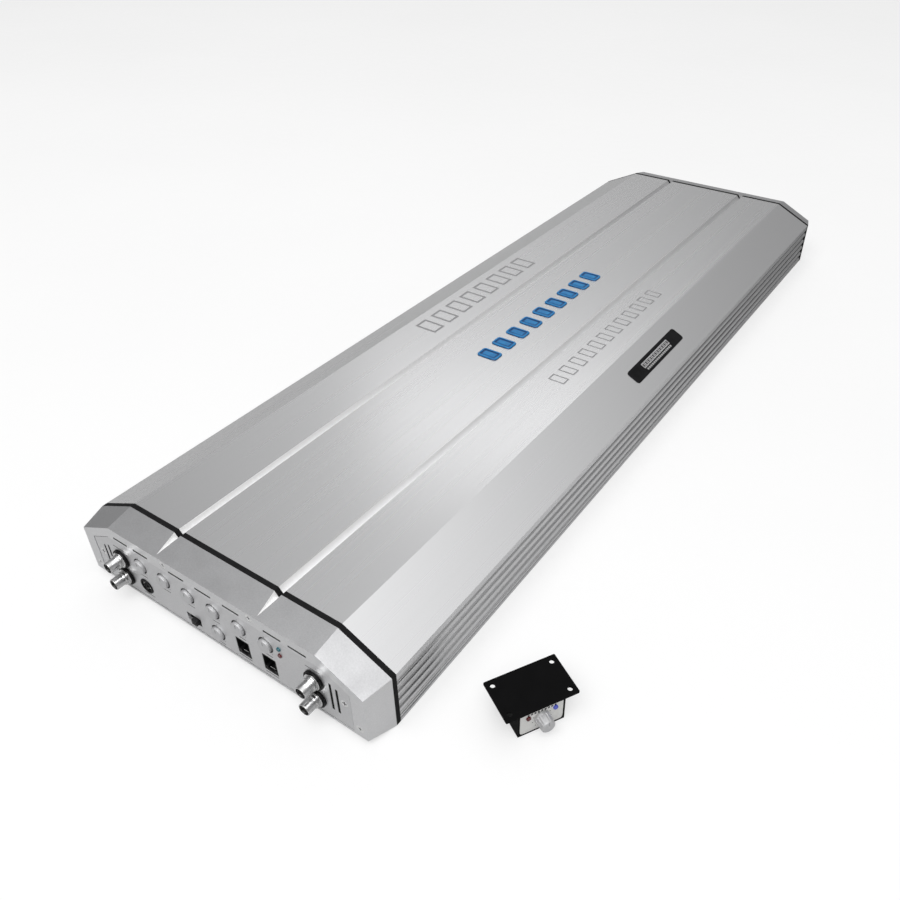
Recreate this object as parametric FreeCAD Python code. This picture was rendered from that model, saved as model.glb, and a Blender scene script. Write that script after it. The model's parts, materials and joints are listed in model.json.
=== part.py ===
import FreeCAD, Part
import math
import os

# Car power amplifier with its wired level remote. Millimetres, +Z up.
# The origin is the middle of the amplifier's underside. The control end faces -Y, the supply end faces +Y.

# ---- Driving dimensions ----
WIDTH = 258.0
HEIGHT = 61.5
LENGTH = 800.0
CAP_DEPTH = 19.3
GASKET_THICKNESS = 3.7
FIT_GAP = 0.1
SLIVER = 0.01

# Body section
TOP_HALF = 91.5
SIDE_TOP = 43.5
GROOVE_X = 44.5
GROOVE_HALF = 2.95
GROOVE_DEPTH = 3.8
LAND_BOTTOM = 36.2
RIB_COUNT = 4
RIB_PITCH = 7.8
RIB_DEPTH = 2.0
RIB_VALLEY = 0.6
LIP_TOP = 2.1
LIP_SHOULDER = 2.6

# Inside of the body
INNER_HALF = 121.5
INNER_SIDE_TOP = 41.0
INNER_TOP_HALF = 88.5
INNER_TOP = 57.0
SPINE = ((54.0, INNER_TOP), (49.0, 49.0), (34.0, 49.0), (31.0, INNER_TOP))
RAIL_X = 113.5
RAIL_TOP = 15.0
PLATE_THICKNESS = 2.0
PLATE_HALF = 124.0
PLATE_SCREW_X = 117.5
PLATE_SCREW_YS = (-320.0, -160.0, 0.0, 160.0, 320.0)
PLATE_SCREW_LENGTH = 8.0

# End cap: front outline, through opening and inset panel
CAP_HALF = 124.0
CAP_TOP_HALF = 91.0
CAP_SIDE_TOP = 41.0
CAP_TOP = 57.3
CAP_BOTTOM = 4.1
OPENING_HALF = 105.0
OPENING_TOP_HALF = 88.0
OPENING_SIDE_TOP = 37.0
OPENING_TOP = 44.3
OPENING_BOTTOM = 9.3
PANEL_HALF = 113.5
PANEL_TOP_HALF = 94.5
PANEL_SIDE_TOP = 38.1
PANEL_TOP = 47.3
PANEL_BOTTOM = 6.2
PANEL_THICKNESS = 2.0
PANEL_JOINT = 0.35
PANEL_INSET = 0.2

# Slots and screws of the cap and the panel
DASH_CENTRES = (-81.1, -61.2, -26.8, -2.4, 22.0, 56.4, 76.3)
DASH_HALF = 7.1
DASH_BOTTOM = 49.4
DASH_TOP = 50.9
DASH_DEPTH = 3.0
VENTS = ((98.9, 38.0), (103.6, 36.0))
VENT_BOTTOM = 14.1
VENT_WIDTH = 1.9
PANEL_SCREW = (108.6, 27.0)
CAP_SCREWS = ((38.0, 53.5), (118.4, 11.2))
CAP_SCREW_LENGTH = 34.0
PANEL_SCREW_LENGTH = 9.0
M3_SHANK = 1.45
M3_HOLE = 1.5
M3_HEAD = 2.75
M3_HEAD_DEPTH = 1.5

# Controls: columns along X and two rows along Z
COLUMN_PITCH = 22.9
COLUMN_START = -66.1
UPPER_ROW = 36.5
LOWER_ROW = 17.0
KNOBS = {
    "input_gain_knob": (0, UPPER_ROW),
    "bass_boost_knob": (1, UPPER_ROW),
    "boost_frequency_knob": (2, UPPER_ROW),
    "low_pass_knob": (3, UPPER_ROW),
    "subsonic_filter_knob": (4, UPPER_ROW),
    "phase_shift_knob": (5, UPPER_ROW),
    "output_level_knob": (3, LOWER_ROW),
}
KNOB_RADIUS = 5.5
KNOB_HOLE = 6.0
KNOB_PROUD = 2.0
KNOB_BACK = 3.0
STEM_RADIUS = 1.5
STEM_CLEARANCE = 0.05
STEM_LENGTH = 8.0
POT_SIZE = 10.0
POT_FRONT = 6.5
CONTROL_BOARD_GAP = 17.8
CONTROL_BOARD_SPAN = (-76.0, 68.0)

# Sockets of the control end
RCA_X = 86.5
RCA_ROWS = (32.2, 16.7)
RCA_RING = 7.2
RCA_RING_THICKNESS = 1.5
RCA_COLLAR = 5.2
RCA_FLANGE = 5.9
RCA_BASE = 4.95
RCA_BARREL = 4.15
RCA_TAIL = 3.9
RCA_BORE = 3.55
RCA_PROUD = 11.2
RCA_CONTACT_BORE = 1.65
RCA_CONTACT_WALL = 0.3
LINK_SOCKET_Z = 18.0
LINK_SOCKET_RADIUS = 6.0
LINK_SOCKET_BORE = 4.6
LINK_SOCKET_DEPTH = 9.0
JACK_Z = 18.2
JACK_WIDTH = 11.3
JACK_HEIGHT = 14.3
JACK_DEPTH = 17.4
JACK_MOUTH_WIDTH = 9.6
JACK_MOUTH_HEIGHT = 9.4
JACK_MOUTH_DEPTH = 12.0
JACK_ROOF = 0.9
JACK_COLUMNS = (4, 5)
JACK_WIRES = 6
JACK_WIRE_PITCH = 1.02
SWITCH_Z = 14.6
SWITCH_WINDOW = (13.0, 7.0)
SWITCH_TRAVEL = 4.0
LED_X = 60.0
LED_ROWS = {"power_led": 40.6, "protect_led": 35.0}
LED_RADIUS = 1.5

# Boards and parts inside
BOARD_THICKNESS = 1.6
BOARD_BOTTOM = 9.0
BOARD_HALF = 105.0
BOARD_HALF_LENGTH = 366.0
STANDOFFS = [(x, y) for x in (-98.0, 0.0, 98.0) for y in (-350.0, -116.0, 116.0, 350.0)]
STANDOFF_RADIUS = 3.0
TRANSFORMER_YS = (190.0, 280.0)
TRANSFORMER_X = 42.0
INDUCTOR_YS = (-290.0, -220.0)
INDUCTOR_X = 36.0
CAPACITOR_RADIUS = 9.0
CAPACITOR_HEIGHT = 35.0
SUPPLY_CAPACITORS = ((-72.0, -48.0, -24.0, 0.0, 24.0, 48.0, 72.0), (90.0, 140.0))
RAIL_CAPACITORS = ((-60.0, -36.0, -12.0, 12.0, 36.0, 60.0), (-150.0, -84.0))
TRANSISTOR_COUNT = 12
TRANSISTOR_PITCH = 52.0
TRANSISTOR_BACK = 121.1
TRANSISTOR_FRONT = 116.2
BAR_FRONT = 112.4
BAR_HALF_LENGTH = 320.0
CLAMP_SCREW_Z = 27.5
WINDING_THICKNESS = 2.4
WINDING_GAP = 0.15

# Supply end
POWER_XS = (-66.0, -46.0, -26.0)
POWER_SIZE = (15.0, 17.0)
POWER_BORE = 5.2
SPEAKER_XS = (26.0, 39.0, 52.0, 65.0)
SPEAKER_SIZE = (9.0, 12.0)
SPEAKER_BORE = 2.6
TERMINAL_Z = 27.0
TERMINAL_PROUD = 12.0
TERMINAL_DEPTH = 26.0
TERMINAL_WALL = 2.2
SET_SCREW_BACK = 6.0
POWER_TAP = 3.0
SPEAKER_TAP = 1.5

# Trim on the top
EMBLEM_BARS = 9
EMBLEM_LENGTH = 199.0
EMBLEM_WIDTH = 22.0
EMBLEM_HEIGHT = 1.0
EMBLEM_FILL = 0.62
BADGE_LENGTH = 90.0
BADGE_WIDTH = 13.6
BADGE_RADIUS = 3.0
BADGE_Y = 3.0
BADGE_HEIGHT = 0.8

# Remote
REMOTE_PLACE = (188.0, -328.0)
REMOTE_TURN = 60.0
REMOTE_BOX = (31.0, 27.0, 20.3)
REMOTE_WALL = 1.5
REMOTE_THICK_WALL = 2.4
REMOTE_FLANGE = (48.0, 30.0, 1.5)
REMOTE_HOLES = (39.5, 21.5)
REMOTE_HOLE = 1.6
REMOTE_FACE = (28.4, 17.8, 1.0)
REMOTE_KNOB_Z = 11.0
REMOTE_KNOB_BACK = 5.0
REMOTE_KNOB_FRONT = 4.4
REMOTE_KNOB_LENGTH = 8.0
REMOTE_KNOB_FLUTES = 12
REMOTE_LED_Z = 14.4
REMOTE_LEDS = {"remote_level_led": -8.9, "remote_power_led": 8.9}
REMOTE_BOARD_Y = -1.2

X_AXIS = FreeCAD.Vector(1, 0, 0)
Y_AXIS = FreeCAD.Vector(0, 1, 0)
Z_AXIS = FreeCAD.Vector(0, 0, 1)
BODY_END = LENGTH / 2 - CAP_DEPTH - GASKET_THICKNESS
CAP_BACK = LENGTH / 2 - CAP_DEPTH
FACE = -LENGTH / 2
PANEL_FRONT = FACE + PANEL_INSET
PANEL_BACK = PANEL_FRONT + PANEL_THICKNESS
CONTROL_BOARD_Y = FACE + CONTROL_BOARD_GAP
BOARD_TOP = BOARD_BOTTOM + BOARD_THICKNESS
TERMINAL_END = LENGTH / 2 + TERMINAL_PROUD
REMOTE_FRONT = -REMOTE_BOX[1] / 2


# ---- Helpers ----
def box(x0, x1, y0, y1, z0, z1):
    return Part.makeBox(x1 - x0, y1 - y0, z1 - z0, FreeCAD.Vector(x0, y0, z0))


def disc_y(x, z, radius, y0, y1):
    """A cylinder along Y from y0 to y1."""
    return Part.makeCylinder(radius, y1 - y0, FreeCAD.Vector(x, y0, z), Y_AXIS)


def disc_z(x, y, radius, z0, z1):
    return Part.makeCylinder(radius, z1 - z0, FreeCAD.Vector(x, y, z0), Z_AXIS)


def disc_x(y, z, radius, x0, x1):
    return Part.makeCylinder(radius, x1 - x0, FreeCAD.Vector(x0, y, z), X_AXIS)


def mirrored(shape):
    """The shape's mirror image in the plane x = 0."""
    return shape.mirror(FreeCAD.Vector(0, 0, 0), X_AXIS)


def edges_at_top(shape, z):
    return [edge for edge in shape.Edges if abs(edge.BoundBox.ZMin - z) < SLIVER]


def ring_y(x, z, outer, inner, y0, y1):
    return disc_y(x, z, outer, y0, y1).cut(disc_y(x, z, inner, y0, y1))


def face_at(points, y):
    """A flat face across the object at y, from (x, z) points."""
    loop = [FreeCAD.Vector(x, y, z) for x, z in points]
    return Part.Face(Part.makePolygon(loop + loop[:1]))


def prism(points, y0, y1):
    return face_at(points, y0).extrude(FreeCAD.Vector(0, y1 - y0, 0))


def rounded_bar(length_x, length_y, height, radius):
    """An upright block centred on the origin, with its four upright edges rounded."""
    block = box(-length_x / 2, length_x / 2, -length_y / 2, length_y / 2, 0, height)
    upright = [e for e in block.Edges if abs(e.tangentAt(e.FirstParameter).z) > 0.9]
    return block.makeFillet(radius, upright)


def joined(shapes):
    """One solid made of touching or overlapping shapes."""
    whole = shapes[0].fuse(shapes[1:])
    return whole.removeSplitter()


def less(shape, tools):
    return shape.cut(Part.Compound(tools)) if tools else shape


def group(shapes):
    return Part.Compound(shapes)


def rear(shape):
    """The same shape turned half a turn about Z, so that it serves the other end."""
    turned = shape.copy()
    turned.rotate(FreeCAD.Vector(0, 0, 0), Z_AXIS, 180)
    return turned


def arch(half, side_top, top_half, top, bottom):
    """The outline shared by body, caps and panels: flat top, sloping shoulders, upright sides."""
    right = [(half, bottom), (half, side_top), (top_half, top)]
    return right + [(-x, z) for x, z in reversed(right)]


def column(index):
    return COLUMN_START + COLUMN_PITCH * index


def both_sides(points):
    return [(side * x, z) for side in (-1, 1) for x, z in points]


# ---- Housing and covers ----
def v_groove(x, y0, y1):
    """The cutter of one lengthwise V groove in the top."""
    over = 1.0
    spread = GROOVE_HALF * (1 + over / GROOVE_DEPTH)
    points = [(x - spread, HEIGHT + over), (x, HEIGHT - GROOVE_DEPTH), (x + spread, HEIGHT + over)]
    return prism(points, y0, y1)


def ribbed_side():
    """The outer side wall from the foot to the shoulder: a lip, four rounded ribs and a flat land."""
    half = WIDTH / 2
    y = -BODY_END
    valley = half - RIB_DEPTH

    def line(a, b):
        return Part.LineSegment(FreeCAD.Vector(a[0], y, a[1]), FreeCAD.Vector(b[0], y, b[1])).toShape()

    def bulge(a, middle, b):
        points = [FreeCAD.Vector(p[0], y, p[1]) for p in (a, middle, b)]
        return Part.Arc(*points).toShape()

    start = LAND_BOTTOM - RIB_COUNT * RIB_PITCH
    lip = (half - 0.5, LIP_SHOULDER)
    edges = [
        line((half, 0), (half, LIP_TOP)),
        line((half, LIP_TOP), lip),
        bulge(lip, (half - 0.4, (LIP_SHOULDER + start) / 2), (valley, start)),
    ]
    for index in range(RIB_COUNT):
        low = start + index * RIB_PITCH
        high = low + RIB_PITCH
        foot = low + RIB_VALLEY
        edges.append(line((valley, low), (valley, foot)))
        edges.append(bulge((valley, foot), (half, (foot + high) / 2), (valley, high)))
    land = LAND_BOTTOM + RIB_VALLEY
    edges.append(line((valley, LAND_BOTTOM), (valley, land)))
    edges.append(bulge((valley, land), (half - 0.5, land + 0.9), (half, land + RIB_DEPTH)))
    edges.append(line((half, land + RIB_DEPTH), (half, SIDE_TOP)))
    return edges


def housing_outline():
    """The closed outer wire of the extrusion, with its plain flat foot."""
    y = -BODY_END
    right = ribbed_side()
    left = [mirrored(edge) for edge in right]
    half = WIDTH / 2
    top = [(half, SIDE_TOP), (TOP_HALF, HEIGHT), (-TOP_HALF, HEIGHT), (-half, SIDE_TOP)]
    vectors = [FreeCAD.Vector(x, y, z) for x, z in top]
    shoulders = [Part.makeLine(a, b) for a, b in zip(vectors, vectors[1:])]
    foot = Part.makeLine(FreeCAD.Vector(-half, y, 0), FreeCAD.Vector(half, y, 0))
    return Part.Wire(Part.__sortEdges__(right + left + shoulders + [foot]))


def housing_cavity():
    """Everything inside the extrusion: the bay above the rails, the gap between them and the plate's seat."""
    outline = arch(INNER_HALF, INNER_SIDE_TOP, INNER_TOP_HALF, INNER_TOP, RAIL_TOP)
    bay = prism(outline, -BODY_END, BODY_END)
    gap = box(-RAIL_X, RAIL_X, -BODY_END, BODY_END, 0, RAIL_TOP)
    seat_half = PLATE_HALF + FIT_GAP
    seat = box(-seat_half, seat_half, -BODY_END, BODY_END, 0, PLATE_THICKNESS + FIT_GAP)
    spine = prism(SPINE, -BODY_END, BODY_END)
    return joined([less(bay, [spine, mirrored(spine)]), gap, seat])


def plate_screw_places():
    return [(side * PLATE_SCREW_X, y) for side in (-1, 1) for y in PLATE_SCREW_YS]


def clamp_screw_ys():
    """Places between every second pair of transistors."""
    return [2 * index * TRANSISTOR_PITCH for index in range(-3, 4)]


def heatsink_housing():
    solid = Part.Face(housing_outline()).extrude(FreeCAD.Vector(0, 2 * BODY_END, 0))
    cutters = [housing_cavity()]
    cutters += [v_groove(side * GROOVE_X, -BODY_END, BODY_END) for side in (-1, 1)]
    reach = CAP_SCREW_LENGTH - CAP_DEPTH - GASKET_THICKNESS + 2
    for x, z in both_sides(CAP_SCREWS):
        cutters.append(disc_y(x, z, M3_HOLE, -BODY_END, -BODY_END + reach))
        cutters.append(disc_y(x, z, M3_HOLE, BODY_END - reach, BODY_END))
    cutters += [disc_z(x, y, M3_HOLE, 0, PLATE_SCREW_LENGTH + 2) for x, y in plate_screw_places()]
    for y in clamp_screw_ys():
        hole = disc_x(y, CLAMP_SCREW_Z, M3_HOLE, INNER_HALF - 1, INNER_HALF + 3.5)
        cutters += [hole, mirrored(hole)]
    return less(solid, cutters)


def bottom_plate():
    length = BODY_END - FIT_GAP
    plate = box(-PLATE_HALF, PLATE_HALF, -length, length, 0, PLATE_THICKNESS)
    holes = []
    for x, y in plate_screw_places():
        place = FreeCAD.Vector(x, y, 0)
        cone = Part.makeCone(M3_HEAD + FIT_GAP, M3_HOLE + FIT_GAP, M3_HEAD_DEPTH, place, Z_AXIS)
        holes += [cone, disc_z(x, y, M3_HOLE + FIT_GAP, 0, PLATE_THICKNESS)]
    return less(plate, holes)


def flat_screw(length):
    """A countersunk screw on the origin with its head face at y = 0, going into +Y, with a cross recess."""
    head = Part.makeCone(M3_HEAD, M3_SHANK, M3_HEAD_DEPTH, FreeCAD.Vector(0, 0, 0), Y_AXIS)
    shank = disc_y(0, 0, M3_SHANK, 0, length)
    slots = [box(-1.7, 1.7, 0, 0.9, -0.35, 0.35), box(-0.35, 0.35, 0, 0.9, -1.7, 1.7)]
    return less(joined([head, shank]), slots)


def screw_at(x, y, z, length):
    screw = flat_screw(length)
    screw.translate(FreeCAD.Vector(x, y, z))
    return screw


def countersink(x, z, y, through):
    """The hole for a countersunk screw whose head face is at y, cut as far as through."""
    cone = Part.makeCone(
        M3_HEAD + FIT_GAP, M3_SHANK + FIT_GAP, M3_HEAD_DEPTH, FreeCAD.Vector(x, y, z), Y_AXIS
    )
    return [cone, disc_y(x, z, M3_SHANK + FIT_GAP, y, through)]


def opening_outline():
    return arch(OPENING_HALF, OPENING_SIDE_TOP, OPENING_TOP_HALF, OPENING_TOP, OPENING_BOTTOM)


def front_gasket():
    y0, y1 = -CAP_BACK, -BODY_END
    band = prism(arch(WIDTH / 2, SIDE_TOP, TOP_HALF, HEIGHT, 0), y0, y1)
    cutters = [prism(opening_outline(), y0, y1)]
    cutters += [v_groove(side * GROOVE_X, y0, y1) for side in (-1, 1)]
    cutters += [disc_y(x, z, M3_SHANK + FIT_GAP, y0, y1) for x, z in both_sides(CAP_SCREWS)]
    return less(band, cutters)


def front_end_cap():
    """A tapered frame with a shallow seat for the panel and a row of blind slots above it."""
    back = Part.Wire(face_at(arch(WIDTH / 2, SIDE_TOP, TOP_HALF, HEIGHT, 0), -CAP_BACK).Edges)
    face = Part.Wire(face_at(arch(CAP_HALF, CAP_SIDE_TOP, CAP_TOP_HALF, CAP_TOP, CAP_BOTTOM), FACE).Edges)
    solid = Part.makeLoft([back, face], True, True)
    grow = PANEL_JOINT
    seat = arch(
        PANEL_HALF + grow, PANEL_SIDE_TOP + grow, PANEL_TOP_HALF + grow, PANEL_TOP + grow, PANEL_BOTTOM - grow
    )
    cutters = [prism(opening_outline(), FACE, -CAP_BACK), prism(seat, FACE, PANEL_BACK)]
    cutters += [v_groove(side * GROOVE_X, FACE, -CAP_BACK) for side in (-1, 1)]
    for x in DASH_CENTRES:
        cutters.append(box(x - DASH_HALF, x + DASH_HALF, FACE, FACE + DASH_DEPTH, DASH_BOTTOM, DASH_TOP))
    for x, z in both_sides(CAP_SCREWS):
        cutters += countersink(x, z, FACE, -CAP_BACK)
    for x, z in both_sides([PANEL_SCREW]):
        cutters.append(disc_y(x, z, M3_HOLE, PANEL_BACK, PANEL_BACK + PANEL_SCREW_LENGTH))
    return less(solid, cutters)


def plain_panel():
    """The panel blank that both ends share, with its vents and screw holes."""
    outline = arch(PANEL_HALF, PANEL_SIDE_TOP, PANEL_TOP_HALF, PANEL_TOP, PANEL_BOTTOM)
    blank = prism(outline, PANEL_FRONT, PANEL_BACK)
    cutters = [vent(x, top) for x, top in both_sides(VENTS)]
    for x, z in both_sides([PANEL_SCREW]):
        cutters += countersink(x, z, PANEL_FRONT, PANEL_BACK)
    return less(blank, cutters)


def vent(x, top):
    """The cutter of one upright slot with round ends."""
    r = VENT_WIDTH / 2
    slot = box(x - r, x + r, FACE, PANEL_BACK, VENT_BOTTOM + r, top - r)
    ends = [disc_y(x, z, r, FACE, PANEL_BACK) for z in (VENT_BOTTOM + r, top - r)]
    return joined([slot] + ends)


def window(x, z, width, height):
    return box(x - width / 2, x + width / 2, FACE, PANEL_BACK, z - height / 2, z + height / 2)


def front_panel():
    cutters = [disc_y(column(i), z, KNOB_HOLE, FACE, PANEL_BACK) for i, z in KNOBS.values()]
    for x, z in rca_places():
        cutters.append(disc_y(x, z, RCA_COLLAR + FIT_GAP, FACE, PANEL_BACK))
    cutters.append(disc_y(column(0), LINK_SOCKET_Z, LINK_SOCKET_RADIUS + FIT_GAP, FACE, PANEL_BACK))
    cutters.append(window(column(2), SWITCH_Z, *SWITCH_WINDOW))
    for index in JACK_COLUMNS:
        cutters.append(window(column(index), JACK_Z, JACK_WIDTH + 2 * FIT_GAP, JACK_HEIGHT + 2 * FIT_GAP))
    cutters += [disc_y(LED_X, z, LED_RADIUS + FIT_GAP, FACE, PANEL_BACK) for z in LED_ROWS.values()]
    return less(plain_panel(), cutters)


def rear_panel():
    panel = rear(plain_panel())
    cutters = [terminal_window(xs, size) for xs, size in terminal_rows()]
    return less(panel, cutters)


# ---- Sockets of the control end ----
def rca_places():
    return [(side * RCA_X, z) for side in (-1, 1) for z in RCA_ROWS]


def rca_shell(x, z):
    """A plated barrel with its flange and stepped base in front of the ring, and a tail through the panel."""
    ring_front = PANEL_FRONT - RCA_RING_THICKNESS
    flange_front = ring_front - 1.0
    base_front = flange_front - 2.2
    tip = FACE - RCA_PROUD
    body = joined([
        disc_y(x, z, RCA_TAIL, ring_front, PANEL_BACK + 7),
        disc_y(x, z, RCA_FLANGE, flange_front, ring_front),
        disc_y(x, z, RCA_BASE, base_front, flange_front),
        disc_y(x, z, RCA_BARREL, tip, base_front),
    ])
    return body.cut(disc_y(x, z, RCA_BORE, tip, PANEL_BACK + 7))


def rca_sockets(side):
    return group([rca_shell(x, z) for x, z in rca_places() if x * side > 0])


def hexagon(x, z, radius):
    angles = [math.radians(60 * corner) for corner in range(6)]
    return [(x + radius * math.cos(angle), z + radius * math.sin(angle)) for angle in angles]


def rca_nut(x, z):
    nut = prism(hexagon(x, z, 6.0), PANEL_BACK + 1.1, PANEL_BACK + 3.3)
    return nut.cut(disc_y(x, z, RCA_TAIL + 0.05, PANEL_BACK, PANEL_BACK + 4))


def rca_insulators():
    """Black ring and collar round each tail, and the core that holds the centre contact."""
    shapes = []
    for x, z in rca_places():
        front = PANEL_FRONT - RCA_RING_THICKNESS
        ring = ring_y(x, z, RCA_RING, RCA_TAIL + 0.05, front, PANEL_FRONT)
        collar = ring_y(x, z, RCA_COLLAR, RCA_TAIL + 0.05, PANEL_FRONT, PANEL_BACK + 1)
        core = disc_y(x, z, RCA_BORE - 0.03, FACE - RCA_PROUD + 0.8, PANEL_BACK + 6)
        contact = RCA_CONTACT_BORE + RCA_CONTACT_WALL + 0.03
        shapes += [joined([ring, collar]), core.cut(disc_y(x, z, contact, FACE - 20, PANEL_BACK + 20))]
    return group(shapes)


def rca_contacts():
    """Sleeve contacts that take a plug's centre pin, closed behind and ending in a solder tail."""
    shapes = []
    for x, z in rca_places():
        outer = RCA_CONTACT_BORE + RCA_CONTACT_WALL
        sleeve = disc_y(x, z, outer, FACE - RCA_PROUD + 1.0, PANEL_BACK + 6)
        tail = disc_y(x, z, 0.8, PANEL_BACK + 6, PANEL_BACK + 11)
        bore = disc_y(x, z, RCA_CONTACT_BORE, FACE - 20, PANEL_BACK - 1)
        shapes.append(joined([sleeve, tail]).cut(bore))
    return group(shapes)


def link_socket_housing():
    """The round moulded socket for the link cable, open at the front."""
    x, z = column(0), LINK_SOCKET_Z
    barrel = disc_y(x, z, LINK_SOCKET_RADIUS, FACE - 0.3, CONTROL_BOARD_Y - 0.1)
    return barrel.cut(disc_y(x, z, LINK_SOCKET_BORE, FACE - 1, FACE + LINK_SOCKET_DEPTH))


def link_socket_contacts():
    """Plated lining of the socket with a keyway at the bottom, and the pins that stand in its floor."""
    x, z = column(0), LINK_SOCKET_Z
    outer = LINK_SOCKET_BORE - 0.05
    lining = ring_y(x, z, outer, outer - 0.35, FACE + 0.5, FACE + LINK_SOCKET_DEPTH - FIT_GAP)
    shapes = [lining.cut(box(x - 1, x + 1, FACE, FACE + 4, z - outer - 1, z - outer + 1))]
    for angle in (35, 90, 145, 215, 325):
        px = x + 2.4 * math.cos(math.radians(angle))
        pz = z + 2.4 * math.sin(math.radians(angle))
        shapes.append(disc_y(px, pz, 0.4, FACE + 5.5, FACE + LINK_SOCKET_DEPTH))
    return group(shapes)


def jack_block(x, z):
    """A black modular jack: a deep mouth with a narrower latch slot under it."""
    half = JACK_WIDTH / 2
    mouth_half = JACK_MOUTH_WIDTH / 2
    front = PANEL_FRONT
    floor = front + JACK_MOUTH_DEPTH
    mouth_top = z + JACK_HEIGHT / 2 - JACK_ROOF
    mouth_bottom = mouth_top - JACK_MOUTH_HEIGHT
    block = box(x - half, x + half, front, front + JACK_DEPTH, z - JACK_HEIGHT / 2, z + JACK_HEIGHT / 2)
    mouth = box(x - mouth_half, x + mouth_half, front, floor, mouth_bottom, mouth_top)
    latch = box(x - 2.6, x + 2.6, front, floor, mouth_bottom - 2.2, mouth_bottom)
    return less(block, [mouth, latch])


def jack_wires(x, z):
    """The sprung contact wires on the roof of a jack's mouth."""
    top = z + JACK_HEIGHT / 2 - JACK_ROOF
    y0 = PANEL_FRONT + 3
    y1 = PANEL_FRONT + JACK_MOUTH_DEPTH - FIT_GAP
    shapes = []
    for index in range(JACK_WIRES):
        middle = x + (index - (JACK_WIRES - 1) / 2) * JACK_WIRE_PITCH
        shapes.append(box(middle - 0.2, middle + 0.2, y0, y1, top - 1.2, top - 0.05))
    return shapes


def jack_contacts():
    return group([wire for index in JACK_COLUMNS for wire in jack_wires(column(index), JACK_Z)])


def slide_switch_housing():
    x = column(2)
    half = SWITCH_WINDOW[0] / 2
    slot_half = SWITCH_WINDOW[1] / 2
    body_half = slot_half + 1.7
    front = PANEL_BACK + FIT_GAP
    back = CONTROL_BOARD_Y - FIT_GAP
    body = box(x - half - 2, x + half + 2, front, back, SWITCH_Z - body_half, SWITCH_Z + body_half)
    slot = box(x - half, x + half, front, front + 4, SWITCH_Z - slot_half, SWITCH_Z + slot_half)
    return body.cut(slot)


def slide_switch_nub():
    """The actuator at its right-hand stop: a foot inside the housing and a ribbed nub through the panel."""
    x = column(2) + SWITCH_TRAVEL / 2
    z = SWITCH_Z
    foot = box(x - 3.8, x + 3.8, PANEL_BACK + 0.5, PANEL_BACK + 3.8, z - 3.2, z + 3.2)
    nub = box(x - 2.2, x + 2.2, FACE - 2.2, PANEL_BACK + 0.5, z - 2.2, z + 2.2)
    grips = []
    for offset in (-1.1, 0, 1.1):
        middle = x + offset
        grips.append(box(middle - 0.2, middle + 0.2, FACE - 3, FACE - 1.9, z - 3, z + 3))
    return less(joined([foot, nub]), grips)


def led(z):
    lens = disc_y(LED_X, z, LED_RADIUS, FACE, PANEL_BACK + 3)
    rim = disc_y(LED_X, z, LED_RADIUS + 0.35, PANEL_BACK + 0.2, PANEL_BACK + 1.2)
    dome = Part.makeSphere(LED_RADIUS, FreeCAD.Vector(LED_X, FACE, z))
    nose = dome.common(box(LED_X - 3, LED_X + 3, FACE - 0.6, FACE, z - 3, z + 3))
    return joined([lens, rim, nose])


# ---- Knobs and what they turn ----
def knob(index, z):
    """A low cap with a pointer groove, on a stem that turns in the potentiometer."""
    x = column(index)
    front = FACE - KNOB_PROUD
    cap = disc_y(x, z, KNOB_RADIUS, front, FACE + KNOB_BACK)
    rim = [e for e in cap.Edges if abs(e.BoundBox.YMax - front) < 0.01]
    cap = cap.makeFillet(0.5, rim)
    stem = disc_y(x, z, STEM_RADIUS, FACE + KNOB_BACK, FACE + POT_FRONT + STEM_LENGTH)
    pointer = box(x - 0.35, x + 0.35, front - 1, front + 0.45, z + 0.6, z + KNOB_RADIUS + 1)
    dish = disc_y(x, z, KNOB_RADIUS - 1.3, front - 1, front + 0.2)
    return less(joined([cap, stem]), [pointer, dish])


def potentiometer(x, z, front, bore_radius):
    """A square carbon potentiometer with a short bushing, facing -Y, bored for the stem."""
    half = POT_SIZE / 2
    body = box(x - half, x + half, front + 2.5, front + 11.0, z - half, z + half)
    bushing = disc_y(x, z, 3.2, front, front + 2.5)
    return joined([body, bushing]).cut(disc_y(x, z, bore_radius, front, front + STEM_LENGTH + 0.6))


def potentiometers():
    places = [(column(index), z) for index, z in KNOBS.values()]
    return group([potentiometer(x, z, FACE + POT_FRONT, STEM_RADIUS + STEM_CLEARANCE) for x, z in places])


# ---- Boards and electronics ----
def control_board():
    """The upright board right behind the panel's controls."""
    x0, x1 = CONTROL_BOARD_SPAN
    back = CONTROL_BOARD_Y + BOARD_THICKNESS
    return box(x0, x1, CONTROL_BOARD_Y, back, OPENING_BOTTOM + 0.8, OPENING_TOP - 0.8)


def board_header():
    """The connector block that carries the control board on the front edge of the main board."""
    y0 = CONTROL_BOARD_Y + BOARD_THICKNESS
    return box(-30, 30, y0, y0 + 14.4, BOARD_TOP, BOARD_TOP + 7)


def main_board():
    board = box(-BOARD_HALF, BOARD_HALF, -BOARD_HALF_LENGTH, BOARD_HALF_LENGTH, BOARD_BOTTOM, BOARD_TOP)
    holes = [disc_z(x, y, M3_HOLE + FIT_GAP, BOARD_BOTTOM, BOARD_TOP) for x, y in STANDOFFS]
    return less(board, holes)


def board_standoffs():
    shapes = []
    for x, y in STANDOFFS:
        post = disc_z(x, y, STANDOFF_RADIUS, PLATE_THICKNESS, BOARD_BOTTOM)
        shapes.append(post.cut(disc_z(x, y, M3_HOLE, PLATE_THICKNESS + 1, BOARD_BOTTOM)))
    return group(shapes)


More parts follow.
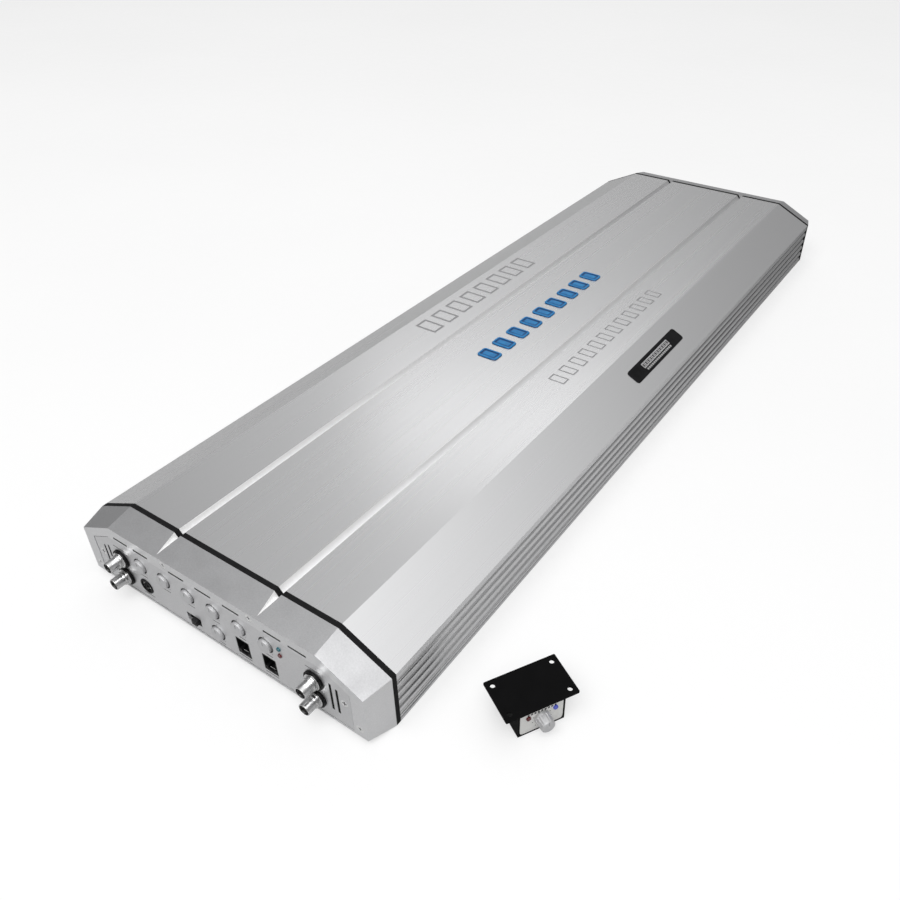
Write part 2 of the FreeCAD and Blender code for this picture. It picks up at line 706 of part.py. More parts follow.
def inner_screws():
    """Pan-head screws: down through the board, and sideways through the clamp bars into the walls."""
    shapes = []
    for x, y in STANDOFFS:
        shank = disc_z(x, y, M3_SHANK, BOARD_BOTTOM - 5, BOARD_TOP)
        shapes.append(joined([shank, disc_z(x, y, M3_HEAD, BOARD_TOP, BOARD_TOP + 2)]))
    for y in clamp_screw_ys():
        head = disc_x(y, CLAMP_SCREW_Z, M3_HEAD, BAR_FRONT - 2, BAR_FRONT)
        shank = disc_x(y, CLAMP_SCREW_Z, M3_SHANK, BAR_FRONT, BAR_FRONT + 12)
        screw = joined([head, shank])
        shapes += [screw, mirrored(screw)]
    return group(shapes)


def transistor_ys():
    start = -(TRANSISTOR_COUNT - 1) / 2
    return [(start + index) * TRANSISTOR_PITCH for index in range(TRANSISTOR_COUNT)]


def transistor(y):
    """A flat power transistor upright against the right wall, its three legs bent down into the board."""
    bottom, top = 17.0, 37.0
    leg_x, leg_thickness = 101.2, 0.8
    body = box(TRANSISTOR_FRONT, TRANSISTOR_BACK, y - 8, y + 8, bottom, top)
    outline = [
        (118.0, bottom), (118.0, bottom - leg_thickness),
        (leg_x + leg_thickness, bottom - leg_thickness), (leg_x + leg_thickness, BOARD_TOP),
        (leg_x, BOARD_TOP), (leg_x, bottom),
    ]
    legs = [prism(outline, y + offset - 0.5, y + offset + 0.5) for offset in (-5.4, 0, 5.4)]
    return joined([body] + legs)


def power_transistors():
    right = [transistor(y) for y in transistor_ys()]
    return group(right + [mirrored(shape) for shape in right])


def wall_strip(x0, x1, z0, z1, hole_radius):
    """A long strip along each side wall, bored for the clamp screws."""
    strip = box(x0, x1, -BAR_HALF_LENGTH, BAR_HALF_LENGTH, z0, z1)
    right = less(strip, [disc_x(y, CLAMP_SCREW_Z, hole_radius, x0, x1) for y in clamp_screw_ys()])
    return group([right, mirrored(right)])


def thermal_strips():
    return wall_strip(TRANSISTOR_BACK, INNER_HALF, 16, 38, M3_SHANK + 0.3)


def transistor_clamp_bars():
    return wall_strip(BAR_FRONT, TRANSISTOR_FRONT, 22, 33, M3_SHANK + 0.05)


def torus_places():
    """Each toroid as (x, y, middle radius, half height, half width of its core)."""
    large = [(side * TRANSFORMER_X, y, 25.0, 11.0, 7.0) for side in (-1, 1) for y in TRANSFORMER_YS]
    small = [(side * INDUCTOR_X, y, 18.0, 8.0, 5.0) for side in (-1, 1) for y in INDUCTOR_YS]
    return large, small


def toroid(place, grow, degrees, start):
    """A ring of rectangular section round an upright axis, or a sector of it."""
    x, y, radius, half_height, half_width = place
    middle = BOARD_TOP + half_height + 4
    inner = radius - half_width - grow
    outer = radius + half_width + grow
    rise = half_height + grow
    corners = [(inner, -rise), (outer, -rise), (outer, rise), (inner, rise)]
    loop = [FreeCAD.Vector(x + dx, y, middle + dz) for dx, dz in corners]
    section = Part.Face(Part.makePolygon(loop + loop[:1]))
    section.rotate(FreeCAD.Vector(x, y, 0), Z_AXIS, start)
    return section.revolve(FreeCAD.Vector(x, y, 0), Z_AXIS, degrees)


def winding(place, start, degrees):
    """Copper wound over one stretch of a core, as a close sleeve."""
    return toroid(place, WINDING_THICKNESS, degrees, start).cut(toroid(place, WINDING_GAP, 360, 0))


def transformer_cores():
    return group([toroid(place, 0, 360, 0) for place in torus_places()[0]])


def transformer_windings():
    return group([winding(place, start, 150) for place in torus_places()[0] for start in (15, 195)])


def output_inductors():
    """Each inductor's core, and its winding, which runs nearly all the way round."""
    shapes = []
    for place in torus_places()[1]:
        shapes += [toroid(place, 0, 360, 0), winding(place, 20, 320)]
    return group(shapes)


def filter_capacitors():
    """Two blocks of upright capacitors, one on the supply side and one for the output rails."""
    top = BOARD_TOP + CAPACITOR_HEIGHT
    shapes = []
    for xs, ys in (SUPPLY_CAPACITORS, RAIL_CAPACITORS):
        for x in xs:
            for y in ys:
                can = disc_z(x, y, CAPACITOR_RADIUS, BOARD_TOP, top)
                shapes.append(can.makeFillet(1.0, edges_at_top(can, top)))
    return group(shapes)


# ---- Supply end ----
def terminal_rows():
    return ((POWER_XS, POWER_SIZE), (SPEAKER_XS, SPEAKER_SIZE))


def terminal_block(xs, size, grow, y0, y1):
    """A block that reaches grow beyond every one of the terminals at xs."""
    half_width = size[0] / 2 + grow
    half_height = size[1] / 2 + grow
    return box(
        min(xs) - half_width, max(xs) + half_width, y0, y1, TERMINAL_Z - half_height, TERMINAL_Z + half_height
    )


def terminal_window(xs, size):
    return terminal_block(xs, size, TERMINAL_WALL + FIT_GAP, -PANEL_BACK - 1, -FACE + 1)


def terminal_housing(xs, size, tap_radius):
    """A moulded block with one open well for each terminal and a hole above each set screw."""
    back = TERMINAL_END - TERMINAL_DEPTH
    block = terminal_block(xs, size, TERMINAL_WALL, back - 3, TERMINAL_END)
    top = TERMINAL_Z + size[1] / 2 + TERMINAL_WALL
    cutters = [terminal_block([x], size, FIT_GAP / 2, back - 0.5, TERMINAL_END) for x in xs]
    for x in xs:
        cutters.append(disc_z(x, TERMINAL_END - SET_SCREW_BACK, tap_radius + 0.4, TERMINAL_Z, top))
    return less(block, cutters)


def terminal_housings():
    power = terminal_housing(POWER_XS, POWER_SIZE, POWER_TAP)
    speaker = terminal_housing(SPEAKER_XS, SPEAKER_SIZE, SPEAKER_TAP)
    return group([power, speaker])


def wire_terminals(xs, size, bore, tap_radius):
    """Plated blocks, each bored for the wire from the end and tapped for a set screw from the top."""
    end = TERMINAL_END - 0.6
    back = TERMINAL_END - TERMINAL_DEPTH
    shapes = []
    for x in xs:
        entry = disc_y(x, TERMINAL_Z, bore, back + 4, end)
        top = TERMINAL_Z + size[1] / 2
        tap = disc_z(x, TERMINAL_END - SET_SCREW_BACK, tap_radius, TERMINAL_Z, top)
        shapes.append(less(terminal_block([x], size, 0, back, end), [entry, tap]))
    return group(shapes)


def set_screw(x, radius, top):
    """A headless screw with a hexagon socket, upright over its terminal."""
    length = 3.0
    socket_depth = 2.0
    body = disc_z(x, 0, radius, top - length, top)
    socket = prism(hexagon(x, 0, radius * 0.55), 0, socket_depth)
    socket.rotate(FreeCAD.Vector(x, 0, 0), X_AXIS, -90)
    socket.translate(FreeCAD.Vector(0, 0, top))
    screw = body.cut(socket)
    screw.translate(FreeCAD.Vector(0, TERMINAL_END - SET_SCREW_BACK, 0))
    return screw


def terminal_screws():
    sink = 0.2
    shapes = []
    for xs, size, tap in ((POWER_XS, POWER_SIZE, POWER_TAP), (SPEAKER_XS, SPEAKER_SIZE, SPEAKER_TAP)):
        top = TERMINAL_Z + size[1] / 2 - sink
        shapes += [set_screw(x, tap - 0.05, top) for x in xs]
    return group(shapes)


# ---- Screws of the covers ----
def end_cap_screws():
    front = [screw_at(x, FACE + 0.1, z, CAP_SCREW_LENGTH) for x, z in both_sides(CAP_SCREWS)]
    return group(front + [rear(screw) for screw in front])


def panel_screws():
    places = both_sides([PANEL_SCREW])
    front = [screw_at(x, PANEL_FRONT + 0.1, z, PANEL_SCREW_LENGTH) for x, z in places]
    return group(front + [rear(screw) for screw in front])


def bottom_plate_screws():
    shapes = []
    for x, y in plate_screw_places():
        screw = flat_screw(PLATE_SCREW_LENGTH)
        screw.rotate(FreeCAD.Vector(0, 0, 0), X_AXIS, 90)
        screw.translate(FreeCAD.Vector(x, y, 0.1))
        shapes.append(screw)
    return group(shapes)


# ---- Trim ----
def top_emblem():
    """A plain row of equal rounded bars along the middle of the top."""
    pitch = EMBLEM_LENGTH / EMBLEM_BARS
    shapes = []
    for index in range(EMBLEM_BARS):
        bar = rounded_bar(EMBLEM_WIDTH, pitch * EMBLEM_FILL, EMBLEM_HEIGHT, 3.0)
        bar = bar.makeChamfer(0.35, edges_at_top(bar, EMBLEM_HEIGHT))
        bar.translate(FreeCAD.Vector(0, (index - (EMBLEM_BARS - 1) / 2) * pitch, HEIGHT))
        shapes.append(bar)
    return group(shapes)


def shoulder_badge():
    """A plain plate near the middle of the right-hand shoulder, lying in its slope."""
    rise = HEIGHT - SIDE_TOP
    run = WIDTH / 2 - TOP_HALF
    slope = math.degrees(math.atan2(rise, run))
    plate = rounded_bar(BADGE_WIDTH, BADGE_LENGTH, BADGE_HEIGHT, BADGE_RADIUS)
    plate.rotate(FreeCAD.Vector(0, 0, 0), Y_AXIS, slope)
    plate.translate(FreeCAD.Vector((WIDTH / 2 + TOP_HALF) / 2, BADGE_Y, (HEIGHT + SIDE_TOP) / 2))
    return plate


# ---- Remote ----
def placed(shape):
    """Moves a shape from the remote's own frame to where the remote stands."""
    moved = shape.copy()
    moved.rotate(FreeCAD.Vector(0, 0, 0), Z_AXIS, REMOTE_TURN)
    moved.translate(FreeCAD.Vector(REMOTE_PLACE[0], REMOTE_PLACE[1], 0))
    return moved


def face_sheet(grow, y0, y1):
    """A sheet with rounded corners across the remote's front."""
    width, height, _ = REMOTE_FACE
    sheet = rounded_bar(width + 2 * grow, height + 2 * grow, y1 - y0, 2.2)
    sheet.rotate(FreeCAD.Vector(0, 0, 0), X_AXIS, 90)
    sheet.translate(FreeCAD.Vector(0, y1, REMOTE_BOX[2] / 2))
    return sheet


def remote_housing():
    """A small folded box, open behind the faceplate, with a window for the jack in its back."""
    width, depth, height = REMOTE_BOX
    back = depth / 2
    wall = REMOTE_THICK_WALL
    shell = box(-width / 2, width / 2, REMOTE_FRONT, back, 0, height)
    inner = width / 2 - wall
    cavity = box(-inner, inner, REMOTE_FRONT, back - REMOTE_WALL, wall, height - wall)
    seat = face_sheet(FIT_GAP, REMOTE_FRONT, REMOTE_FRONT + REMOTE_FACE[2] + FIT_GAP)
    half = JACK_WIDTH / 2 + 2 * FIT_GAP
    jack_hole = box(-half, half, back - 3, back, wall, wall + JACK_HEIGHT + 4 * FIT_GAP)
    return placed(less(shell, [cavity, seat, jack_hole]))


def remote_flange():
    """The plate on top of the box, with a fixing hole in each corner."""
    width, depth, thickness = REMOTE_FLANGE
    plate = rounded_bar(width, depth, thickness, 0.8)
    holes = [
        disc_z(sx * REMOTE_HOLES[0] / 2, sy * REMOTE_HOLES[1] / 2, REMOTE_HOLE, -1, thickness + 1)
        for sx in (-1, 1) for sy in (-1, 1)
    ]
    plate = less(plate, holes)
    plate.translate(FreeCAD.Vector(0, 0, REMOTE_BOX[2]))
    return placed(plate)


def remote_faceplate():
    sheet = face_sheet(0, REMOTE_FRONT + 0.05, REMOTE_FRONT + REMOTE_FACE[2] + 0.05)
    holes = [disc_y(0, REMOTE_KNOB_Z, 3.6, REMOTE_FRONT, REMOTE_FRONT + 3)]
    for x in REMOTE_LEDS.values():
        holes.append(disc_y(x, REMOTE_LED_Z, LED_RADIUS + 0.05, REMOTE_FRONT, REMOTE_FRONT + 3))
    return placed(less(sheet, holes))


def remote_knob():
    """A tapered round knob with flutes round its side, on a stem that turns in the potentiometer."""
    z = REMOTE_KNOB_Z
    back = REMOTE_FRONT - 0.4
    tip = back - REMOTE_KNOB_LENGTH
    place = FreeCAD.Vector(0, tip, z)
    cap = Part.makeCone(REMOTE_KNOB_FRONT, REMOTE_KNOB_BACK, REMOTE_KNOB_LENGTH, place, Y_AXIS)
    cap = cap.makeChamfer(0.5, [edge for edge in cap.Edges if abs(edge.BoundBox.YMax - tip) < SLIVER])
    stem = disc_y(0, z, STEM_RADIUS, back, REMOTE_FRONT + 8.5)
    cutters = [box(-0.3, 0.3, tip, tip + 0.4, z + 0.6, z + REMOTE_KNOB_BACK)]
    for index in range(REMOTE_KNOB_FLUTES):
        angle = math.radians(360 * (index + 0.5) / REMOTE_KNOB_FLUTES)
        flute_x = (REMOTE_KNOB_BACK + 0.35) * math.sin(angle)
        flute_z = z + (REMOTE_KNOB_BACK + 0.35) * math.cos(angle)
        cutters.append(disc_y(flute_x, flute_z, 1.0, tip, back - 1.2))
    return placed(less(joined([cap, stem]), cutters))


def remote_potentiometer():
    front = REMOTE_FRONT + REMOTE_FACE[2] + 0.2
    return placed(potentiometer(0, REMOTE_KNOB_Z, front, STEM_RADIUS + STEM_CLEARANCE))


def remote_board():
    """An upright board behind the potentiometer, which also carries the jack and the lamps."""
    return placed(box(-12, 12, REMOTE_BOARD_Y, REMOTE_BOARD_Y + BOARD_THICKNESS, 3.0, 17.3))


def remote_led(x):
    """A domed lamp in the faceplate, on two legs from the board."""
    front = REMOTE_FRONT - 0.2
    back = front + 5
    z = REMOTE_LED_Z
    lens = disc_y(x, z, LED_RADIUS, front, back)
    dome = Part.makeSphere(LED_RADIUS, FreeCAD.Vector(x, front, z))
    nose = dome.common(box(x - 3, x + 3, front - 0.7, front, z - 3, z + 3))
    legs = [disc_y(x + offset, z, 0.25, back, REMOTE_BOARD_Y) for offset in (-0.7, 0.7)]
    return placed(joined([lens, nose] + legs))


def remote_jack():
    """The jack at the back of the remote, its mouth facing away from the knob."""
    block = rear(jack_block(0, REMOTE_THICK_WALL + 2 * FIT_GAP + JACK_HEIGHT / 2))
    block.translate(FreeCAD.Vector(0, PANEL_FRONT - REMOTE_FRONT, 0))
    half = REMOTE_BOX[0] / 2
    keep = box(-half, half, REMOTE_BOARD_Y + BOARD_THICKNESS, REMOTE_BOX[1], 0, REMOTE_BOX[2])
    return placed(block.common(keep))


# ---- Export ----
def nodes():
    made = {
        "heatsink_housing": heatsink_housing(),
        "bottom_plate": bottom_plate(),
        "front_gasket": front_gasket(),
        "rear_gasket": rear(front_gasket()),
        "front_end_cap": front_end_cap(),
        "rear_end_cap": rear(front_end_cap()),
        "front_panel": front_panel(),
        "rear_panel": rear_panel(),
        "end_cap_screws": end_cap_screws(),
        "panel_screws": panel_screws(),
        "bottom_plate_screws": bottom_plate_screws(),
        "input_rca_sockets": rca_sockets(-1),
        "output_rca_sockets": rca_sockets(1),
        "rca_nuts": group([rca_nut(x, z) for x, z in rca_places()]),
        "rca_insulators": rca_insulators(),
        "rca_contacts": rca_contacts(),
        "potentiometers": potentiometers(),
        "slide_switch_housing": slide_switch_housing(),
        "slide_switch_nub": slide_switch_nub(),
        "link_socket_housing": link_socket_housing(),
        "link_socket_contacts": link_socket_contacts(),
        "remote_input_jack": jack_block(column(4), JACK_Z),
        "remote_output_jack": jack_block(column(5), JACK_Z),
        "jack_contacts": jack_contacts(),
        "control_board": control_board(),
        "board_header": board_header(),
        "main_board": main_board(),
        "board_standoffs": board_standoffs(),
        "inner_screws": inner_screws(),
        "power_transistors": power_transistors(),
        "thermal_strips": thermal_strips(),
        "transistor_clamp_bars": transistor_clamp_bars(),
        "transformer_cores": transformer_cores(),
        "transformer_windings": transformer_windings(),
        "output_inductors": output_inductors(),
        "filter_capacitors": filter_capacitors(),
        "terminal_housings": terminal_housings(),
        "power_terminals": wire_terminals(POWER_XS, POWER_SIZE, POWER_BORE, POWER_TAP),
        "speaker_terminals": wire_terminals(SPEAKER_XS, SPEAKER_SIZE, SPEAKER_BORE, SPEAKER_TAP),
        "terminal_screws": terminal_screws(),
        "top_emblem": top_emblem(),
        "shoulder_badge": shoulder_badge(),
        "remote_housing": remote_housing(),
        "remote_flange": remote_flange(),
        "remote_faceplate": remote_faceplate(),
        "remote_knob": remote_knob(),
        "remote_potentiometer": remote_potentiometer(),
        "remote_board": remote_board(),
        "remote_jack": remote_jack(),
    }
    made.update({name: knob(*place) for name, place in KNOBS.items()})
    made.update({name: led(z) for name, z in LED_ROWS.items()})
    made.update({name: remote_led(x) for name, x in REMOTE_LEDS.items()})
    return made


os.makedirs("parts", exist_ok=True)
for name, shape in nodes().items():
    assert shape.isValid(), name
    shape.exportStep("parts/" + name + ".step")
    print(name, len(shape.Solids), "solids", round(shape.Volume), "mm3")
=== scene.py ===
import json
import math

import bmesh
import bpy
from mathutils import Matrix, Vector


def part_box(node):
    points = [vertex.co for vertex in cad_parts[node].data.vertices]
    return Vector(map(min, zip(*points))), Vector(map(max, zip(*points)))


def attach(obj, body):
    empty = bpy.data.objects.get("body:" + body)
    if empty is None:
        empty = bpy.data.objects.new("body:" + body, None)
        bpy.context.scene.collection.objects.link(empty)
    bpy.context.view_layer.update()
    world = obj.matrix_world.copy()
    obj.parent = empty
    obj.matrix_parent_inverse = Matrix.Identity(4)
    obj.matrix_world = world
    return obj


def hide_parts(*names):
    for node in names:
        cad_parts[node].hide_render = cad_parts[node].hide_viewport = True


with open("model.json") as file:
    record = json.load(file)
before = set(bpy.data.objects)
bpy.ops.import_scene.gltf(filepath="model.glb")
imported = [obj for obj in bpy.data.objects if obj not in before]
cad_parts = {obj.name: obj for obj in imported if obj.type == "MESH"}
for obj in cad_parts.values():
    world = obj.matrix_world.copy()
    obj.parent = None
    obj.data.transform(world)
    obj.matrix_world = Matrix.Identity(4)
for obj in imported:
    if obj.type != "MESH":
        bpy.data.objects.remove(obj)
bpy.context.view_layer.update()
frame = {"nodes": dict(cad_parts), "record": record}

MM = 0.001
WELD = 0.001 * MM
SLOT_OF = {row["node"]: row["material_slot"] for row in frame["record"]["subparts"]}
BODY_OF = {node: body for body, nodes in frame["record"]["behaviour"]["bodies"].items() for node in nodes}
PANEL_KNOBS = sorted(
    node for node in frame["nodes"] if SLOT_OF[node] == "knob_silver" and node != "remote_knob"
)
RCA_NODES = ("input_rca_sockets", "output_rca_sockets")
JACK_NODES = ("remote_input_jack", "remote_output_jack")

# ---- Camera and light ----
# Metres and degrees, with the lens and the sensor in millimetres and the shift in sensor widths.
CAMERA_PLACE = (0.3347, -0.5916, 0.4295)
CAMERA_YAW = 34.14
CAMERA_PITCH = 36.78
CAMERA_ROLL = -0.15
CAMERA_LENS = 33.41
CAMERA_SHIFT = (-0.0388, -0.0173)
CAMERA_REACH = (0.02, 60.0)
SENSOR_WIDTH = 36.0
FLOOR_HALF = 14.0
FLOOR_DROP = 0.0002
FLOOR_GLOW = 0.5
# The floor as the metal sees it has painted shade, darkest at DIM_PLACE and lighter with the distance from
# there.
DIM_PLACE = (0.35, 0.605, 0.0)
DIM_REACH = (0.1, 0.7)
DIM_LEVELS = (0.15, 0.53)
WALL_LEVEL = 0.2
# Each glow of the wall: heading, elevation, sharpness, strength.
GLOWS = ((28, 72, 6.0, 1.05), (-43, 22, 12.0, 0.39))
# Each lamp: name, heading, elevation, distance, width, height, radiance.
SOFTBOXES = (
    ("band_light", -29, 38.7, 4.0, 1.95, 0.49, 0.8),
    ("front_light", 165, 58, 4.0, 4.2, 2.8, 2.6),
)


# ---- Materials ----
# Most values of a noise texture lie in this range.
NOISE_RANGE = (0.3, 0.7)


class Shader:
    """A principled material and the texture nodes that feed it, in the object's own coordinates."""

    def __init__(self, name, **sockets):
        self.material = bpy.data.materials.new(name)
        self.material.use_nodes = True
        self.nodes = self.material.node_tree.nodes
        self.links = self.material.node_tree.links
        self.bsdf = self.nodes["Principled BSDF"]
        self.place = self.nodes.new("ShaderNodeTexCoord").outputs["Object"]
        self.normal = None
        for socket, value in sockets.items():
            self.bsdf.inputs[socket.replace("_", " ")].default_value = value

    def placed(self, kind, scale):
        """A texture node that reads the object's coordinates times scale."""
        mapping = self.nodes.new("ShaderNodeMapping")
        mapping.inputs["Scale"].default_value = scale
        texture = self.nodes.new(kind)
        texture.inputs["Scale"].default_value = 1.0
        self.links.new(self.place, mapping.inputs["Vector"])
        self.links.new(mapping.outputs["Vector"], texture.inputs["Vector"])
        return texture

    def noise(self, size, stretch=(1, 1, 1), detail=3.0, roughness=0.55):
        """Noise whose features are about size metres across, longer along the axes where stretch is large."""
        texture = self.placed("ShaderNodeTexNoise", [1 / (size * s) for s in stretch])
        texture.inputs["Detail"].default_value = detail
        texture.inputs["Roughness"].default_value = roughness
        return texture.outputs["Fac"]

    def cells(self, size):
        """Distance to the middle of irregular cells about size metres across."""
        return self.placed("ShaderNodeTexVoronoi", [1 / size] * 3).outputs["Distance"]

    def bands(self, pitch, axis):
        """A smooth wave of the given pitch along one axis; a plain wave texture's own pitch is 2 pi / 20."""
        texture = self.placed("ShaderNodeTexWave", [1 / (pitch * 20 / (2 * math.pi))] * 3)
        texture.bands_direction = axis
        return texture.outputs["Fac"]

    def ranged(self, fac, source, target):
        """Maps the source range of a value to the target range."""
        node = self.nodes.new("ShaderNodeMapRange")
        node.inputs["From Min"].default_value, node.inputs["From Max"].default_value = source
        node.inputs["To Min"].default_value, node.inputs["To Max"].default_value = target
        self.links.new(fac, node.inputs["Value"])
        return node.outputs["Result"]

    def colour(self, fac, dark, light, low=NOISE_RANGE[0], high=NOISE_RANGE[1]):
        """Base colour that goes from dark to light while fac goes from low to high."""
        ramp = self.nodes.new("ShaderNodeValToRGB")
        for stop, place, colour in zip(ramp.color_ramp.elements, (low, high), (dark, light)):
            stop.position = place
            stop.color = (*colour, 1)
        self.links.new(fac, ramp.inputs["Fac"])
        self.links.new(ramp.outputs["Color"], self.bsdf.inputs["Base Color"])

    def rough(self, fac, low, high):
        """Roughness between low and high that follows a noise."""
        self.links.new(self.ranged(fac, NOISE_RANGE, (low, high)), self.bsdf.inputs["Roughness"])

    def bump(self, fac, strength, height):
        """Adds a layer of relief, height metres deep at full strength, over the layers before it."""
        node = self.nodes.new("ShaderNodeBump")
        node.inputs["Strength"].default_value = strength
        node.inputs["Distance"].default_value = height
        self.links.new(fac, node.inputs["Height"])
        if self.normal:
            self.links.new(self.normal, node.inputs["Normal"])
        self.normal = node.outputs["Normal"]
        self.links.new(self.normal, self.bsdf.inputs["Normal"])


def shade(colour, factor):
    """The colour times a factor, never over 1."""
    return tuple(min(1.0, channel * factor) for channel in colour)


def extruded_metal(name, colour, roughness, streak=0.02, spread=0.005):
    """Anodised metal drawn along Y: fine long streaks of colour and sheen."""
    shader = Shader(name, Metallic=1.0)
    streaks = shader.noise(1.8 * MM, (1, 300, 1), detail=1.0)
    shader.colour(streaks, shade(colour, 1 - streak), shade(colour, 1 + streak))
    shader.rough(shader.noise(5 * MM, (1, 200, 1), detail=0.0), roughness - spread, roughness + spread)
    return shader.material


def bright_cut(name, near, far, y_near, y_far):
    """Metal with fine tool marks whose colour goes from near to far between two places on Y: painted light,
    bright at the near place and shaded towards the far one.
    """
    shader = Shader(name, Metallic=0.35)
    parts = shader.nodes.new("ShaderNodeSeparateXYZ")
    shader.links.new(shader.place, parts.inputs["Vector"])
    along = shader.ranged(parts.outputs["Y"], (y_near, y_far), (0.0, 1.0))
    shader.colour(along, near, far, 0.0, 1.0)
    shader.rough(shader.noise(2 * MM, (1, 80, 1), detail=1.0), 0.32, 0.38)
    return shader.material


def blasted_metal(name, colour, roughness, grain=0.5, speckle=0.04, metallic=1.0, relief=0.22):
    """Bead-blasted or fine silver-painted metal: an even speckle with no direction."""
    shader = Shader(name, Metallic=metallic)
    grains = shader.noise(grain * MM, detail=4.0, roughness=0.7)
    shader.colour(grains, shade(colour, 1 - speckle), shade(colour, 1 + speckle))
    shader.rough(shader.noise(14 * MM), roughness - 0.04, roughness + 0.04)
    shader.bump(grains, relief, 0.03 * MM)
    return shader.material


def plated_metal(name, colour, roughness):
    """Plating with faint turning marks and a slightly uneven polish."""
    shader = Shader(name, Metallic=1.0)
    marks = shader.noise(0.15 * MM, (20, 1, 20))
    shader.colour(marks, shade(colour, 0.93), shade(colour, 1.03))
    shader.rough(shader.noise(1.8 * MM), roughness - 0.05, roughness + 0.07)
    shader.bump(marks, 0.15, 0.01 * MM)
    return shader.material


def moulded(name, colour, roughness, texture=0.35, relief=0.02, coat=0.0, shine=0.5):
    """Moulded plastic with a fine spark-eroded texture and faint flow marks."""
    shader = Shader(name, Coat_Weight=coat, Coat_Roughness=0.08, Specular_IOR_Level=shine)
    grain = shader.noise(texture * MM, detail=3.0)
    flow = shader.noise(9 * MM)
    shader.colour(flow, shade(colour, 0.85), shade(colour, 1.18))
    shader.rough(grain, roughness - 0.07, roughness + 0.07)
    shader.bump(grain, 0.3, relief * MM)
    return shader.material


def rubber(name, colour):
    """Matt rubber with a dusty bloom."""
    shader = Shader(name, Specular_IOR_Level=0.12)
    bloom = shader.noise(6 * MM, detail=5.0)
    shader.colour(bloom, shade(colour, 0.8), shade(colour, 1.5))
    shader.rough(bloom, 0.6, 0.8)
    shader.bump(shader.noise(0.5 * MM), 0.35, 0.04 * MM)
    return shader.material


def lens(name, colour, glow):
    """A tinted lamp body with a soft inner glow of its own colour."""
    shader = Shader(
        name, Coat_Weight=0.1, Coat_Roughness=0.05, Emission_Color=(*colour, 1), Emission_Strength=glow
    )
    cloud = shader.noise(0.9 * MM)
    shader.colour(cloud, shade(colour, 0.75), shade(colour, 1.35))
    shader.rough(cloud, 0.12, 0.24)
    shader.bump(cloud, 0.1, 0.02 * MM)
    return shader.material


def laminate(name, colour):
    """A solder-masked board with tracks that show faintly as a lattice under the mask."""
    shader = Shader(name, Coat_Weight=0.3, Coat_Roughness=0.15)
    tracks = shader.cells(3.2 * MM)
    shader.colour(tracks, shade(colour, 0.7), shade(colour, 1.5), 0.35, 0.42)
    shader.rough(shader.noise(2 * MM), 0.3, 0.45)
    shader.bump(tracks, 0.2, 0.03 * MM)
    return shader.material


def wound_copper(name, colour):
    """Close turns of enamelled wire as fine ridges with uneven enamel, with painted shade in the creases and
    painted highlight on the tops.
    """
    shader = Shader(name, Metallic=0.85, Coat_Weight=0.5, Coat_Roughness=0.12)
    turns = shader.bands(1.1 * MM, "DIAGONAL")
    shader.colour(turns, shade(colour, 0.45), shade(colour, 1.25), 0.1, 0.9)
    shader.rough(shader.noise(3 * MM), 0.25, 0.4)
    shader.bump(turns, 0.8, 0.2 * MM)
    return shader.material


def glossy_enamel(name, colour, edge, coat, roughness, shine=0.5):
    """Deep gloss colour that pools darker and lighter over the surface."""
    shader = Shader(name, Coat_Weight=coat, Coat_Roughness=0.04, Specular_IOR_Level=shine)
    pools = shader.noise(7 * MM, (1, 0.6, 1), detail=1.5)
    shader.colour(pools, edge, colour, 0.36, 0.62)
    shader.rough(shader.noise(1.5 * MM), roughness - 0.05, roughness + 0.08)
    shader.bump(pools, 0.25, 0.15 * MM)
    return shader.material


def ink(name, colour):
    """Screen-printed ink, slightly mottled; the dark one also serves as painted shade."""
    shader = Shader(name)
    mottle = shader.noise(0.8 * MM)
    shader.colour(mottle, shade(colour, 0.85), shade(colour, 1.15))
    shader.rough(mottle, 0.45, 0.6)
    shader.bump(mottle, 0.2, 0.01 * MM)
    return shader.material


def pale_floor(name):
    """A floor that looks almost white but throws less light back on the metal: a grey with painted shade,
    darkest at DIM_PLACE.
    """
    shader = Shader(name, Emission_Color=(1, 1, 1, 1), Emission_Strength=FLOOR_GLOW)
    shader.colour(shader.noise(0.6), (0.44, 0.44, 0.44), (0.46, 0.46, 0.46))
    shader.rough(shader.noise(0.02), 0.75, 0.9)
    away = shader.nodes.new("ShaderNodeVectorMath")
    away.operation = "DISTANCE"
    away.inputs[1].default_value = DIM_PLACE
    shader.links.new(shader.place, away.inputs[0])
    # What the metal sees: a grey with painted shade that darkens towards DIM_PLACE.
    grey = shader.nodes.new("ShaderNodeBsdfDiffuse")
    shader.links.new(shader.ranged(away.outputs["Value"], DIM_REACH, DIM_LEVELS), grey.inputs["Color"])
    rays = shader.nodes.new("ShaderNodeLightPath")
    mix = shader.nodes.new("ShaderNodeMixShader")
    shader.links.new(rays.outputs["Is Camera Ray"], mix.inputs["Fac"])
    shader.links.new(grey.outputs["BSDF"], mix.inputs[1])
    shader.links.new(shader.bsdf.outputs["BSDF"], mix.inputs[2])
    shader.links.new(mix.outputs["Shader"], shader.nodes["Material Output"].inputs["Surface"])
    return shader.material


